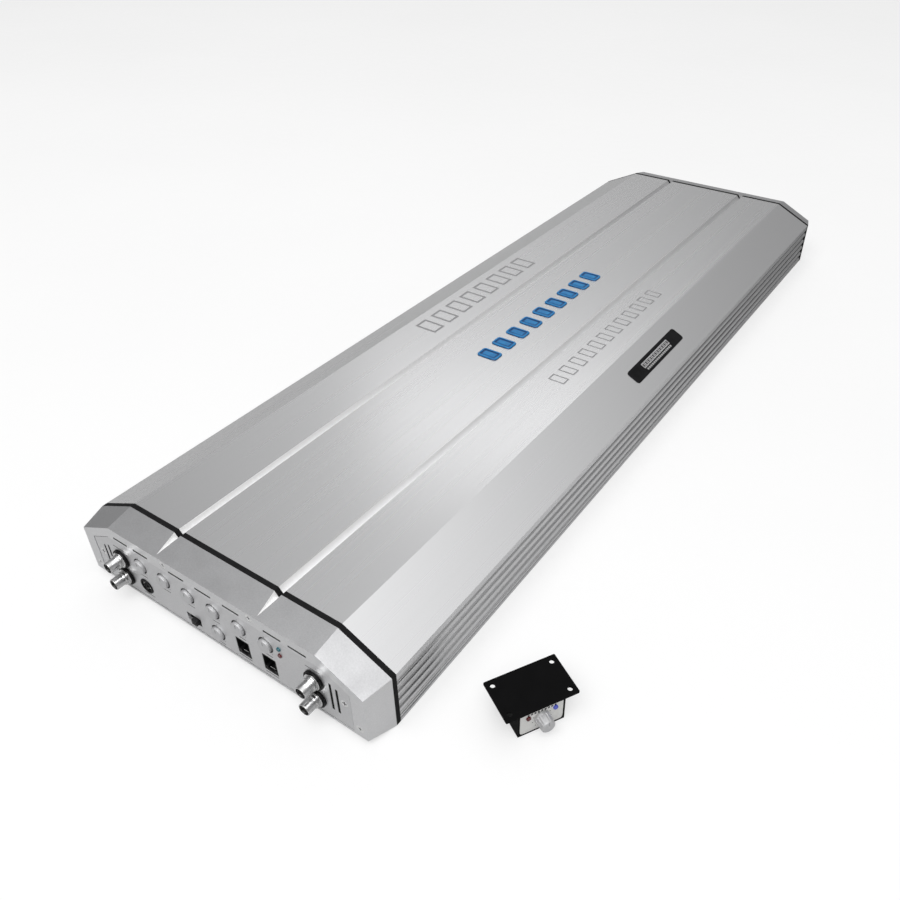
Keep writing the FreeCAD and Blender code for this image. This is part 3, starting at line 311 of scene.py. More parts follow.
# One material for each slot of the CAD model.
MATERIALS = {
    "housing_aluminium": extruded_metal("satin_extrusion", (0.78, 0.781, 0.79), 0.27, 0.006),
    "plate_aluminium": extruded_metal("mill_sheet", (0.74, 0.74, 0.75), 0.42, 0.04),
    "cap_aluminium": blasted_metal("blasted_cap", (0.82, 0.821, 0.83), 0.42, 0.9, 0.05, 1.0, 0.3),
    "panel_silver": blasted_metal("silver_panel", (0.75, 0.751, 0.76), 0.45, 0.6, 0.06),
    "remote_face": blasted_metal("silver_plate", (0.82, 0.82, 0.8), 0.45, 0.5, 0.05, 0.15),
    "knob_silver": blasted_metal("silver_knob", (0.7, 0.701, 0.71), 0.6, 0.3),
    "screw_steel": plated_metal("zinc_screw", (0.95, 0.95, 0.95), 0.42),
    "clamp_steel": extruded_metal("clamp_bar", (0.5, 0.5, 0.51), 0.4),
    "nickel_plate": plated_metal("nickel", (0.76, 0.76, 0.76), 0.2),
    # Painted shade: the plated contacts get a dark grey in place of their gold, as they sit deep in the
    # socket holes.
    "contact_metal": plated_metal("dull_contact", (0.3, 0.29, 0.27), 0.35),
    "standoff_brass": plated_metal("brass_post", (0.72, 0.56, 0.28), 0.3),
    "gasket_rubber": rubber("gasket", (0.008, 0.008, 0.0085)),
    "pad_grey": rubber("silicone_pad", (0.3, 0.3, 0.32)),
    "black_plastic": moulded("black_moulding", (0.006, 0.006, 0.0065), 0.45, shine=0.12),
    "pot_body": moulded("phenolic", (0.05, 0.055, 0.06), 0.5),
    "switch_grey": moulded("dark_moulding", (0.02, 0.02, 0.021), 0.42, shine=0.3),
    "ferrite": moulded("ferrite", (0.06, 0.06, 0.065), 0.65, 0.6, 0.05),
    "capacitor_sleeve": moulded("shrink_sleeve", (0.02, 0.03, 0.09), 0.25, 0.8, 0.02, 0.5),
    "remote_black": moulded("powder_coat", (0.0028, 0.0028, 0.003), 0.6, 0.7, 0.06, shine=0.06),
    "circuit_board": laminate("board_laminate", (0.02, 0.16, 0.07)),
    "copper_winding": wound_copper("copper_turns", (0.6, 0.25, 0.09)),
    "lamp_green": lens("lens_teal", (0.008, 0.1, 0.13), 0.1),
    "lamp_red": lens("lens_red", (0.09, 0.006, 0.008), 0.08),
    "lamp_blue": lens("lens_blue", (0.05, 0.07, 0.4), 0.3),
    "emblem_blue": glossy_enamel("blue_enamel", (0.012, 0.2, 0.47), (0.008, 0.15, 0.38), 0.05, 0.3, 0.3),
    "badge_black": glossy_enamel(
        "black_plate", (0.006, 0.006, 0.007), (0.003, 0.003, 0.0035), 0.0, 0.45, 0.12
    ),
}

# Materials of the faces and pieces that differ from their slot.
# The dark ink serves for print on the remote and for painted shade in the screw recesses.
DARK_INK_AND_SHADE = ink("dark_ink", (0.03, 0.03, 0.032))
INK_MID = ink("mid_ink", (0.16, 0.16, 0.165))
INK_TOP = ink("top_ink", (0.26, 0.26, 0.265))
INK_PALE = ink("pale_ink", (0.48, 0.48, 0.485))
# Painted shade: a darker blue for the walls and troughs of the emblem tiles.
SHADED_BLUE = glossy_enamel("deep_blue_enamel", (0.003, 0.06, 0.2), (0.002, 0.04, 0.13), 0.05, 0.3, 0.3)
# Painted light: groove walls bright at the front end, fading to shade towards the back.
GROOVE_PAINTED_LIGHT = bright_cut("bright_cut", (0.98, 0.98, 0.98), (0.45, 0.45, 0.455), -0.4, 0.3)
# Painted shade in the valleys between the ribs, darkest towards the back.
VALLEY_PAINTED_SHADE = bright_cut("rib_valley", (0.66, 0.66, 0.665), (0.1, 0.1, 0.105), -0.36, 0.08)
# Painted shade: the caps' upward faces darker than their front faces.
SLOPE_PAINTED_SHADE = blasted_metal("blasted_slope", (0.5, 0.501, 0.51), 0.5, 0.9, 0.08, 1.0, 0.4)
LIP_METAL = blasted_metal("pale_lip", (0.95, 0.95, 0.95), 0.4, 0.4, 0.05, 0.3)


# ---- Mesh helpers ----
# Bends over SMOOTH_ANGLE shade as creases. Bends over HARD_ANGLE are rounded off, and those over
# SHALLOW_ANGLE where the edge is longer than LONG_EDGE. Bends under FLAT_ANGLE are dissolved.
SMOOTH_ANGLE = 35
HARD_ANGLE = 28
SHALLOW_ANGLE = 20
LONG_EDGE = 15 * MM
FLAT_ANGLE = 0.4


def add_piece(name, bm, materials, body, replaced=()):
    """Puts a finished bmesh in the scene as a piece that rides on a body; replaced: nodes it stands for."""
    bmesh.ops.recalc_face_normals(bm, faces=bm.faces)
    mesh = bpy.data.meshes.new(name)
    bm.to_mesh(mesh)
    bm.free()
    for material in materials:
        mesh.materials.append(material)
    mesh.shade_smooth()
    mesh.set_sharp_from_angle(angle=math.radians(SMOOTH_ANGLE))
    piece = bpy.data.objects.new(name, mesh)
    bpy.context.scene.collection.objects.link(piece)
    weighted = piece.modifiers.new("even_shading", "WEIGHTED_NORMAL")
    weighted.keep_sharp = True
    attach(piece, body)
    if replaced:
        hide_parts(*replaced)


def add_skin(node, suffix, bm, extra=()):
    """Adds a piece that stands for one CAD node, in the node's own slot and body."""
    slot = SLOT_OF[node]
    add_piece(node + suffix, bm, [MATERIALS[slot], *extra], BODY_OF[node], [node])


def weld(bm):
    """Joins points that lie on one another."""
    bmesh.ops.remove_doubles(bm, verts=bm.verts, dist=WELD)


def axis_of(node):
    """X and Z of the middle of a node."""
    low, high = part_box(node)
    return (low.x + high.x) / 2, (low.z + high.z) / 2


def softened(node, width, zones=()):
    """A copy of a CAD node, which it stands for, with hard edges and long shallow ones rounded off.

    zones lists (material, test) pairs for the faces that differ from the rest.
    """
    bm = bmesh.new()
    bm.from_mesh(frame["nodes"][node].data)
    weld(bm)
    bmesh.ops.dissolve_limit(bm, angle_limit=math.radians(FLAT_ANGLE), verts=bm.verts, edges=bm.edges)
    hard, shallow = math.radians(HARD_ANGLE), math.radians(SHALLOW_ANGLE)
    edges = []
    for edge in bm.edges:
        bend = edge.calc_face_angle(0) if len(edge.link_faces) == 2 else 0
        if bend > hard or (bend > shallow and edge.calc_length() > LONG_EDGE):
            edges.append(edge)
    bmesh.ops.bevel(
        bm, geom=edges, offset=width, segments=2, profile=0.5, affect="EDGES", clamp_overlap=True
    )
    bmesh.ops.recalc_face_normals(bm, faces=bm.faces)
    for face in bm.faces:
        for index, (_, test) in enumerate(zones, 1):
            if test(face):
                face.material_index = index
                break
    add_skin(node, "_skin", bm, [material for material, _ in zones])


def ring_strip(bm, loops, materials=None):
    """Bands of quads between loops of equal length; materials holds one index for each band."""
    for row, (first, second) in enumerate(zip(loops, loops[1:])):
        for index in range(len(first)):
            after = (index + 1) % len(first)
            face = bm.faces.new((first[index], first[after], second[after], second[index]))
            face.material_index = materials[row] if materials else 0


def lathe(bm, x, z, profile, knurled=(), teeth=0, depth=0.0, segments=64):
    """A turned shape round an axis along Y; profile holds (radius, y), and knurled the rows cut by teeth."""
    rings = []
    for row, (radius, y) in enumerate(profile):
        ring = []
        for index in range(segments):
            angle = 2 * math.pi * index / segments
            cut = depth if row in knurled and (index * teeth * 2 // segments) % 2 else 0.0
            r = radius - cut
            ring.append(bm.verts.new((x + r * math.sin(angle), y, z + r * math.cos(angle))))
        rings.append(ring)
    ring_strip(bm, rings)
    return rings


def tube(bm, x, z, outer, inner, near, deep):
    """A plain ring between two places on Y. Its last ring lies on its first and is welded to it later."""
    lathe(bm, x, z, [(outer, near), (outer, deep), (inner, deep), (inner, near), (outer, near)])


def slab(bm, centre, half_x, half_y, half_z, turn=None, material=0):
    """A small block, turned by a matrix about its own middle."""
    corners = []
    for sz in (-1, 1):
        for sx, sy in ((-1, -1), (1, -1), (1, 1), (-1, 1)):
            offset = Vector((sx * half_x, sy * half_y, sz * half_z))
            if turn:
                offset = turn @ offset
            corners.append(bm.verts.new(Vector(centre) + offset))
    for face in ((0, 3, 2, 1), (4, 5, 6, 7), (0, 1, 5, 4), (1, 2, 6, 5), (2, 3, 7, 6), (3, 0, 4, 7)):
        bm.faces.new([corners[i] for i in face]).material_index = material


def rounded_loop(bm, x, y, z, half_x, half_y, radius, steps=5):
    """A level loop round a rectangle with round corners."""
    loop = []
    for quarter, (side_x, side_y) in enumerate(((1, 1), (-1, 1), (-1, -1), (1, -1))):
        for step in range(steps + 1):
            angle = math.radians(90 * (quarter + step / steps))
            at_x = x + side_x * (half_x - radius) + radius * math.cos(angle)
            at_y = y + side_y * (half_y - radius) + radius * math.sin(angle)
            loop.append(bm.verts.new((at_x, at_y, z)))
    return loop


# Width in millimetres of the rounding of each node that gets one.
SOFT_EDGES = {
    "heatsink_housing": 0.35,
    "front_end_cap": 0.5,
    "rear_end_cap": 0.5,
    "front_gasket": 0.3,
    "rear_gasket": 0.3,
    "front_panel": 0.12,
    "rear_panel": 0.12,
    "bottom_plate": 0.3,
    "end_cap_screws": 0.2,
    "panel_screws": 0.2,
    "bottom_plate_screws": 0.06,
    "rca_insulators": 0.12,
    "slide_switch_nub": 0.12,
    "link_socket_housing": 0.15,
    "remote_input_jack": 0.15,
    "remote_output_jack": 0.15,
    "terminal_housings": 0.25,
    "power_terminals": 0.2,
    "speaker_terminals": 0.2,
    "shoulder_badge": 0.1,
    "remote_housing": 0.3,
    "remote_flange": 0.2,
    "remote_faceplate": 0.12,
    "remote_knob": 0.12,
}


# ---- Faces of the housing and the caps that get painted light or shade ----
GROOVE_X = 44.5 * MM
GROOVE_REACH = 3.2 * MM
GROOVE_BOTTOM = 56 * MM
RIB_X = (122 * MM, 127.9 * MM)
RIB_Z = (3 * MM, 38 * MM)
SLOPE_BOTTOM = 41 * MM


def groove_face(face):
    """Both walls of the two grooves on the top; on the caps they get painted light."""
    place = face.calc_center_median()
    beside = abs(abs(place.x) - GROOVE_X) < GROOVE_REACH
    return beside and place.z > GROOVE_BOTTOM and abs(face.normal.x) > 0.5


def groove_near_face(face):
    """The walls of the grooves that turn towards +X, which get painted light on the housing."""
    return groove_face(face) and face.normal.x > 0


def rib_valley(face):
    """The faces between the ribs of both sides, which get painted shade."""
    place = face.calc_center_median()
    among = RIB_X[0] < abs(place.x) < RIB_X[1] and RIB_Z[0] < place.z < RIB_Z[1]
    return among and abs(face.normal.x) > 0.3


def shaded_cap_slope(face):
    """The faces of a cap that look upwards, which get painted shade."""
    return face.normal.z > 0.2 and face.calc_center_median().z > SLOPE_BOTTOM


# Painted light on the walls of the grooves, painted shade between the ribs and on the caps' upward faces.
ZONES = {
    "heatsink_housing": ((GROOVE_PAINTED_LIGHT, groove_near_face), (VALLEY_PAINTED_SHADE, rib_valley)),
    "front_end_cap": ((GROOVE_PAINTED_LIGHT, groove_face), (SLOPE_PAINTED_SHADE, shaded_cap_slope)),
    "rear_end_cap": ((GROOVE_PAINTED_LIGHT, groove_face), (SLOPE_PAINTED_SHADE, shaded_cap_slope)),
}

# ---- Knobs ----
KNOB_TURN = 140
KNOB_GAP = 0.4 * MM
KNOB_DEPTH = 5 * MM
KNOB_STEM = 1.5 * MM
KNOB_TIP = 0.02 * MM
KNURL_TEETH = 32
KNURL_DEPTH = 0.14 * MM
# Radii of the black rings of painted shade round the knob holes.
GAP_SHADE_OUTER = 5.96 * MM
GAP_SHADE_INNER = 5.3 * MM


def panel_knob(node):
    """A low knurled cap with rounded edges and a pointer, on its stem."""
    low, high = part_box(node)
    x, z = axis_of(node)
    radius = (high.x - low.x) / 2 - KNOB_GAP
    front, back, end = low.y, low.y + KNOB_DEPTH, high.y
    bm = bmesh.new()
    rings = lathe(bm, x, z, [
        (KNOB_TIP, front),
        (radius - 1.0 * MM, front + 0.02 * MM),
        (radius - 0.4 * MM, front + 0.12 * MM),
        (radius - 0.12 * MM, front + 0.35 * MM),
        (radius, front + 0.65 * MM),
        (radius, back - 0.5 * MM),
        (radius - 0.2 * MM, back - 0.1 * MM),
        (radius - 0.5 * MM, back),
        (KNOB_STEM, back),
        (KNOB_STEM, end - 0.3 * MM),
        (KNOB_STEM - 0.3 * MM, end),
        (KNOB_TIP, end),
    ], knurled=(4, 5), teeth=KNURL_TEETH, depth=KNURL_DEPTH, segments=128)
    bm.faces.new(rings[0])
    bm.faces.new(rings[-1])
    pointer = (x, front + 0.1 * MM, z + radius * 0.55)
    slab(bm, pointer, 0.2 * MM, 0.12 * MM, radius * 0.28, material=1)
    add_skin(node, "_cap", bm, [INK_MID])


def knob_wells():
    """Black rings in the holes round the panel's knobs: painted shade in the gap between each knob and its
    hole.
    """
    panel_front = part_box("front_panel")[0].y
    bm = bmesh.new()
    for node in PANEL_KNOBS:
        tube(bm, *axis_of(node), GAP_SHADE_OUTER, GAP_SHADE_INNER, panel_front + 0.2 * MM, panel_front + 1.9 * MM)
    weld(bm)
    add_piece("knob_wells", bm, [MATERIALS["black_plastic"]], "amplifier")


# ---- RCA sockets ----
RCA_FLANGE = 5.9 * MM
RCA_BASE = 4.95 * MM
RCA_BARREL = 4.15 * MM
RCA_TAIL = 3.9 * MM
RCA_BORE = 3.55 * MM
RCA_EDGE = 0.25 * MM
RCA_RING = 1.5 * MM
MOUTH_OUTER = 3.5 * MM
MOUTH_INNER = 2.0 * MM


def rca_places(node):
    """X, Z of the two sockets of a pair, the lower one first."""
    low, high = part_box(node)
    flange = (high.x - low.x) / 2
    return [((low.x + high.x) / 2, z) for z in (low.z + flange, high.z - flange)]


def rca_shell(bm, x, z, tip, ring_front, tail_end):
    """A ridged flange, a stepped base and a barrel with a rounded mouth, hollow right through."""
    flange_front = ring_front - 1.0 * MM
    base_front = flange_front - 2.2 * MM
    profile = [
        (RCA_BORE, tail_end), (RCA_TAIL, tail_end), (RCA_TAIL, ring_front),
        (RCA_FLANGE - RCA_EDGE, ring_front), (RCA_FLANGE, ring_front - RCA_EDGE),
        (RCA_FLANGE, flange_front + RCA_EDGE), (RCA_FLANGE - RCA_EDGE, flange_front),
    ]
    for offset in (0.0, 0.7 * MM, 1.4 * MM):
        top = flange_front - offset
        profile += [
            (RCA_BASE - 0.22 * MM, top - 0.02 * MM), (RCA_BASE - 0.22 * MM, top - 0.2 * MM),
            (RCA_BASE, top - 0.32 * MM), (RCA_BASE, top - 0.6 * MM),
        ]
    profile += [
        (RCA_BASE - 0.1 * MM, base_front + 0.02 * MM), (RCA_BARREL, base_front),
        (RCA_BARREL, tip + 0.45 * MM), (RCA_BARREL - 0.12 * MM, tip + 0.12 * MM),
        (RCA_BARREL - 0.3 * MM, tip), (RCA_BORE + 0.1 * MM, tip), (RCA_BORE, tip + 0.12 * MM),
        (RCA_BORE, tail_end),
    ]
    lathe(bm, x, z, profile)


def rca_pair(node):
    """The two turned shells of a pair, one above the other."""
    low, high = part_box(node)
    ring_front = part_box("front_panel")[0].y - RCA_RING
    bm = bmesh.new()
    for x, z in rca_places(node):
        rca_shell(bm, x, z, low.y, ring_front, high.y)
    weld(bm)
    add_skin(node, "_turned", bm)


def rca_mouths():
    """Black insulators just inside the mouths of the barrels, round the contacts."""
    bm = bmesh.new()
    for node in RCA_NODES:
        front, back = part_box(node)[0].y + 0.7 * MM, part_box(node)[0].y + 1.6 * MM
        for x, z in rca_places(node):
            lathe(bm, x, z, [
                (MOUTH_OUTER, front + 0.2 * MM), (MOUTH_OUTER, back), (MOUTH_INNER, back),
                (MOUTH_INNER, front), (MOUTH_OUTER - 0.2 * MM, front), (MOUTH_OUTER, front + 0.2 * MM),
            ])
    weld(bm)
    add_piece("rca_mouths", bm, [MATERIALS["black_plastic"]], "amplifier")


# ---- Painted shade in slots, joints and recesses, and bright sleeves ----
# Places on the ends are X, Z in millimetres.
PANEL_OUTLINE = ((113.5, 6.2), (113.5, 38.1), (94.5, 47.3), (-94.5, 47.3), (-113.5, 38.1), (-113.5, 6.2))
PANEL_JOINT = ((0.33, 0.35), (0.33, 1.8), (0.03, 1.8), (0.03, 0.35))
CAP_SLOTS = (-81.1, -61.2, -26.8, -2.4, 22.0, 56.4, 76.3)
SLOT_Z = 50.15
VENT_TOPS = ((98.9, 38.0), (103.6, 36.0))
VENT_BOTTOM = 14.1
CAP_SCREW_PLACES = ((38.0, 53.5), (118.4, 11.2))
PANEL_SCREW_PLACE = (108.6, 27.0)
CROSS_BARS = ((1.68, 0.34), (0.34, 1.68))
SLEEVE_OUTER = 4.56 * MM
SLEEVE_INNER = 4.3 * MM


def both_ends(bm):
    """Adds a copy of everything made so far, turned half a turn for the supply end."""
    copy = bmesh.ops.duplicate(bm, geom=bm.faces[:])["geom"]
    verts = [item for item in copy if isinstance(item, bmesh.types.BMVert)]
    bmesh.ops.rotate(bm, verts=verts, cent=(0, 0, 0), matrix=Matrix.Rotation(math.pi, 3, "Z"))


def end_linings():
    """Black sheets in the slots, the vents and the panel joint of both ends: painted shade in these gaps."""
    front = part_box("front_end_cap")[0].y
    bm = bmesh.new()
    for x in CAP_SLOTS:
        slab(bm, (x * MM, front + 1.4 * MM, SLOT_Z * MM), 7.05 * MM, 1.3 * MM, 0.72 * MM)
    for x, top in VENT_TOPS:
        middle = (top + VENT_BOTTOM) / 2
        half_z = (top - middle) * MM - 0.2 * MM
        for side in (-1, 1):
            slab(bm, (side * x * MM, front + 1.08 * MM, middle * MM), 0.92 * MM, 0.8 * MM, half_z)
    loops = []
    for grow, y in PANEL_JOINT:
        loop = []
        for x, z in PANEL_OUTLINE:
            up = -grow if z == PANEL_OUTLINE[0][1] else grow
            loop.append(bm.verts.new((math.copysign(abs(x) + grow, x) * MM, front + y * MM, (z + up) * MM)))
        loops.append(loop)
    ring_strip(bm, loops + loops[:1])
    both_ends(bm)
    add_piece("end_linings", bm, [MATERIALS["gasket_rubber"]], "amplifier")


def screw_crosses():
    """Dark slabs at the bottoms of the cross recesses in the screws of both ends: painted shade."""
    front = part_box("front_end_cap")[0].y
    bm = bmesh.new()
    for x, z in (*CAP_SCREW_PLACES, PANEL_SCREW_PLACE):
        for side in (-1, 1):
            for half_x, half_z in CROSS_BARS:
                slab(bm, (side * x * MM, front + 0.62 * MM, z * MM), half_x * MM, 0.25 * MM, half_z * MM)
    both_ends(bm)
    add_piece("screw_crosses", bm, [DARK_INK_AND_SHADE], "amplifier")


def socket_details():
    """A bright sleeve in the round socket and a bright comb edge in each jack."""
    bm = bmesh.new()
    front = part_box("link_socket_housing")[0].y
    x, z = axis_of("link_socket_housing")
    tube(bm, x, z, SLEEVE_OUTER, SLEEVE_INNER, front + 2.2 * MM, front + 5 * MM)
    weld(bm)
    for node in JACK_NODES:
        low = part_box(node)[0]
        place = (axis_of(node)[0] + 0.4 * MM, low.y + 1.1 * MM, low.z + 3.3 * MM)
        slab(bm, place, 2.2 * MM, 0.06 * MM, 0.09 * MM)
    add_piece("socket_sleeves", bm, [LIP_METAL], "amplifier")


# ---- Emblem ----
EMBLEM_X = -1.3 * MM
TILE_COUNT = 9
TILE_MARGIN = 13.7 * MM
TILE_HALF_X = 9.6 * MM
TILE_HALF_Y = 6.4 * MM
TILE_CORNER = 3.0 * MM
# Inset and rise of each loop of a tile in millimetres; TILE_BANDS holds the material of each band between: 0
# the tile's blue, 1 a darker blue painted as shade on the lower outer wall and in the trough.
TILE_PROFILE = (
    (0.0, 0.0), (0.0, 0.55), (0.45, 0.98), (1.9, 0.98), (2.3, 0.45), (3.6, 0.45), (3.9, 0.75), (4.6, 0.75),
)
TILE_BANDS = (1, 0, 0, 1, 1, 0, 0)


def emblem():
    """Nine plain tiles, each with a raised rim round a trough and a low middle, with painted shade in a
    darker blue on the lower outer wall and in the trough.
    """
    low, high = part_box("top_emblem")
    pitch = (high.y - low.y - TILE_MARGIN) / (TILE_COUNT - 1)
    bm = bmesh.new()
    for index in range(TILE_COUNT):
        y = (low.y + high.y) / 2 + (index - (TILE_COUNT - 1) / 2) * pitch
        loops = []
        for inset, rise in TILE_PROFILE:
            edge, z = inset * MM, low.z + rise * MM
            corner = max(TILE_CORNER - edge, 0.5 * MM)
            loops.append(rounded_loop(bm, EMBLEM_X, y, z, TILE_HALF_X - edge, TILE_HALF_Y - edge, corner))
        ring_strip(bm, loops, TILE_BANDS)
        bm.faces.new(loops[-1])
        bm.faces.new(loops[0][::-1])
    materials = [MATERIALS["emblem_blue"], SHADED_BLUE]
    add_piece("emblem_tiles", bm, materials, "amplifier", ["top_emblem"])


# ---- Printed marks ----
# Each row on the top: name, x, width, height, stroke, count, pitch, in metres.
TOP_ROWS = (
    ("left_print", -0.0725, 0.022, 0.0145, 0.0022, 8, 0.0222),
    ("right_print", 0.066, 0.015, 0.0092, 0.0013, 12, 0.0162),
)
# The shoulder falls 18 mm over 37.5 mm.
SHOULDER_TILT = math.atan2(18.0, 37.5)
BADGE_FRAMES = 11
BADGE_DASHES = 16
REMOTE_TURN = math.radians(60)
REMOTE_DASHES = 9
SCALE_RADIUS = 6.2 * MM
SCALE_STEP = 40


def frame_mark(bm, centre, width, height, stroke, thickness, turn):
    """A hollow rectangle of four strips, width along its own x and height along its own y."""
    for side in (-1, 1):
        across = turn @ Vector((side * (width - stroke) / 2, 0, 0))
        slab(bm, Vector(centre) + across, stroke / 2, height / 2, thickness / 2, turn)
        along = turn @ Vector((0, side * (height - stroke) / 2, 0))
        slab(bm, Vector(centre) + along, (width - 2 * stroke) / 2, stroke / 2, thickness / 2, turn)


def top_marks():
    """Two rows of plain printed outlines on the top, one each side of the emblem."""
    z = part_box("heatsink_housing")[1].z + 0.02 * MM
    for name, x, width, height, stroke, count, pitch in TOP_ROWS:
        bm = bmesh.new()
        for index in range(count):
            y = (index - (count - 1) / 2) * pitch
            frame_mark(bm, (x, y, z), width, height, stroke, 0.03 * MM, Matrix.Identity(3))
        add_piece(name, bm, [INK_TOP], "amplifier")


def badge_marks():
    """A row of small hollow marks and a row of short dashes printed on the shoulder plate."""
    low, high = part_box("shoulder_badge")
    turn = Matrix.Rotation(SHOULDER_TILT, 3, "Y")
    surface = (low + high) / 2 + turn @ Vector((0, 0, 0.42 * MM))
    bm = bmesh.new()
    for index in range(BADGE_FRAMES):
        y = (index - (BADGE_FRAMES - 1) / 2) * 4.6 * MM
        place = surface + turn @ Vector((-1.2 * MM, y, 0))
        frame_mark(bm, place, 5.0 * MM, 3.8 * MM, 0.9 * MM, 0.04 * MM, turn)
    for index in range(BADGE_DASHES):
        y = (index - (BADGE_DASHES - 1) / 2) * 3.0 * MM
        slab(bm, surface + turn @ Vector((3.4 * MM, y, 0)), 0.9 * MM, 0.9 * MM, 0.02 * MM, turn)
    add_piece("badge_print", bm, [INK_PALE], "amplifier")


def panel_marks():
    """Short dashes where the panel has labels, and three ticks round each knob."""
    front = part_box("front_panel")[0].y - 0.015 * MM
    bm = bmesh.new()
    for node in PANEL_KNOBS:
        x, z = axis_of(node)
        slab(bm, (x, front, z - 8.6 * MM), 4.4 * MM, 0.02 * MM, 0.3 * MM)
        for degrees in (-KNOB_TURN, 0, KNOB_TURN):
            turn = Matrix.Rotation(math.radians(degrees), 3, "Y")
            tick = Vector((x, front, z)) + turn @ Vector((0, 0, 7.1 * MM))
            slab(bm, tick, 0.16 * MM, 0.02 * MM, 0.5 * MM, turn)
    for node in (*JACK_NODES, "link_socket_housing"):
        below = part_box(node)[0].z - 1.7 * MM
        slab(bm, (axis_of(node)[0], front, below), 5.4 * MM, 0.02 * MM, 0.35 * MM)
    for node in RCA_NODES:
        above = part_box(node)[1].z + 3.4 * MM
        slab(bm, (axis_of(node)[0], front, above), 5.6 * MM, 0.02 * MM, 0.35 * MM)
    add_piece("panel_print", bm, [INK_MID], "amplifier")


def remote_marks():
    """A row of short dashes above the remote's knob and the dots of a scale round it."""
    forward = Vector((math.sin(REMOTE_TURN), -math.cos(REMOTE_TURN), 0))
    across = Vector((math.cos(REMOTE_TURN), math.sin(REMOTE_TURN), 0))
    turn = Matrix.Rotation(REMOTE_TURN, 3, "Z")
    low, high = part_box("remote_faceplate")
    face = (low + high) / 2 + forward * 0.52 * MM
    bm = bmesh.new()
    for index in range(REMOTE_DASHES):
        place = face + across * (index - (REMOTE_DASHES - 1) / 2) * 2.2 * MM + Vector((0, 0, 6.6 * MM))
        slab(bm, place, 0.6 * MM, 0.03 * MM, 0.7 * MM, turn)
    for degrees in range(-KNOB_TURN, KNOB_TURN + 1, SCALE_STEP):
        angle = math.radians(degrees)
        rise = math.cos(angle) * SCALE_RADIUS - 0.4 * MM
        place = face + across * math.sin(angle) * SCALE_RADIUS + Vector((0, 0, rise))
        slab(bm, place, 0.28 * MM, 0.03 * MM, 0.28 * MM, turn)
    add_piece("remote_print", bm, [DARK_INK_AND_SHADE], "remote")


# ---- Scene ----
def make_floor():
    """A wide level floor just under the object."""
    bm = bmesh.new()
    bmesh.ops.create_grid(bm, x_segments=8, y_segments=8, size=FLOOR_HALF)
    mesh = bpy.data.meshes.new("floor")
    bm.to_mesh(mesh)
    bm.free()
    mesh.materials.append(pale_floor("pale_floor"))
    floor = bpy.data.objects.new("floor", mesh)
    floor.location.z = -FLOOR_DROP
    bpy.context.scene.collection.objects.link(floor)


def outward(heading, elevation):
    """The direction from the origin, with heading in degrees from +Y towards +X."""
    turn, rise = math.radians(heading), math.radians(elevation)
    return Vector((math.sin(turn) * math.cos(rise), math.cos(turn) * math.cos(rise), math.sin(rise)))


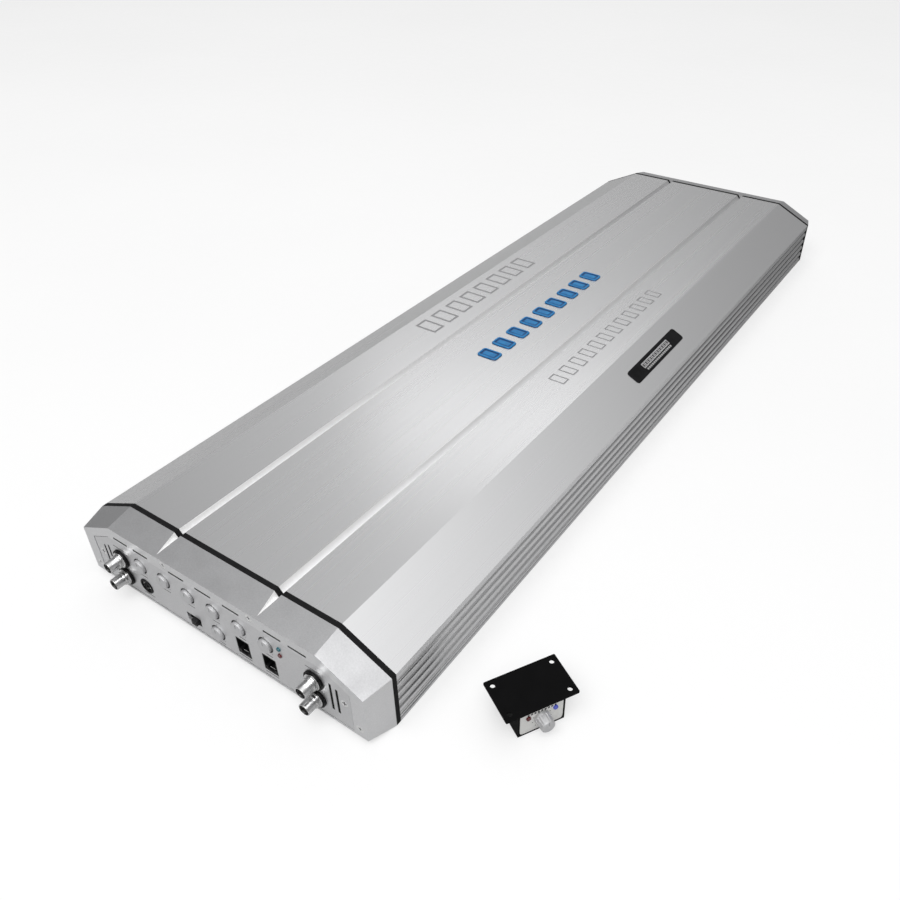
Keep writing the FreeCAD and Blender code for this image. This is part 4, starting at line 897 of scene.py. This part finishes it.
def make_world():
    """A dim even studio with broad soft glows, and plain white where the camera looks past the floor."""
    world = bpy.data.worlds.new("studio")
    world.use_nodes = True
    nodes, links = world.node_tree.nodes, world.node_tree.links

    def calculate(operation, source, value):
        """The result of a maths node on a socket and a number, another socket or nothing."""
        node = nodes.new("ShaderNodeMath")
        node.operation = operation
        links.new(source, node.inputs[0])
        if isinstance(value, float):
            node.inputs[1].default_value = value
        elif value:
            links.new(value, node.inputs[1])
        return node.outputs["Value"]

    place = nodes.new("ShaderNodeTexCoord").outputs["Generated"]
    level = WALL_LEVEL
    for heading, elevation, sharpness, strength in GLOWS:
        facing = nodes.new("ShaderNodeVectorMath")
        facing.operation = "DOT_PRODUCT"
        facing.inputs[1].default_value = outward(heading, elevation)
        links.new(place, facing.inputs[0])
        behind = calculate("SUBTRACT", facing.outputs["Value"], 1.0)
        fall = calculate("EXPONENT", calculate("MULTIPLY", behind, sharpness), None)
        level = calculate("ADD", calculate("MULTIPLY", fall, strength), level)
    light, plain = nodes["Background"], nodes.new("ShaderNodeBackground")
    for background in (light, plain):
        background.inputs["Color"].default_value = (1.0, 1.0, 1.0, 1)
    links.new(level, light.inputs["Strength"])
    rays = nodes.new("ShaderNodeLightPath")
    mix = nodes.new("ShaderNodeMixShader")
    links.new(rays.outputs["Is Camera Ray"], mix.inputs["Fac"])
    links.new(light.outputs["Background"], mix.inputs[1])
    links.new(plain.outputs["Background"], mix.inputs[2])
    links.new(mix.outputs["Shader"], nodes["World Output"].inputs["Surface"])
    bpy.context.scene.world = world


def softbox(name, heading, elevation, distance, width, height, level):
    """A rectangular lamp that faces the origin from a distance; level is its radiance."""
    data = bpy.data.lights.new(name, "AREA")
    data.shape = "RECTANGLE"
    data.size, data.size_y = width, height
    data.energy = 4 * level * width * height
    lamp = bpy.data.objects.new(name, data)
    lamp.location = outward(heading, elevation) * distance
    lamp.rotation_euler = (-lamp.location).to_track_quat("-Z", "Y").to_euler()
    bpy.context.scene.collection.objects.link(lamp)


def make_camera():
    """The camera, aimed by yaw, pitch below the horizon and roll."""
    data = bpy.data.cameras.new("camera")
    data.sensor_width = SENSOR_WIDTH
    data.lens = CAMERA_LENS
    data.shift_x, data.shift_y = CAMERA_SHIFT
    data.clip_start, data.clip_end = CAMERA_REACH
    camera = bpy.data.objects.new("camera", data)
    turn = Matrix.Rotation(math.radians(CAMERA_YAW), 4, "Z")
    turn @= Matrix.Rotation(math.radians(90 - CAMERA_PITCH), 4, "X")
    turn @= Matrix.Rotation(math.radians(CAMERA_ROLL), 4, "Z")
    camera.matrix_world = Matrix.Translation(CAMERA_PLACE) @ turn
    bpy.context.scene.collection.objects.link(camera)
    bpy.context.scene.camera = camera


make_camera()
make_world()
make_floor()
for lamp in SOFTBOXES:
    softbox(*lamp)
bpy.context.scene.view_settings.view_transform = "Standard"

for node, shown in frame["nodes"].items():
    shown.data.materials.clear()
    shown.data.materials.append(MATERIALS[SLOT_OF[node]])

for node, width in SOFT_EDGES.items():
    softened(node, width * MM, ZONES.get(node, ()))
for node in PANEL_KNOBS:
    panel_knob(node)
knob_wells()
for node in RCA_NODES:
    rca_pair(node)
rca_mouths()
end_linings()
screw_crosses()
socket_details()
emblem()
top_marks()
badge_marks()
panel_marks()
remote_marks()
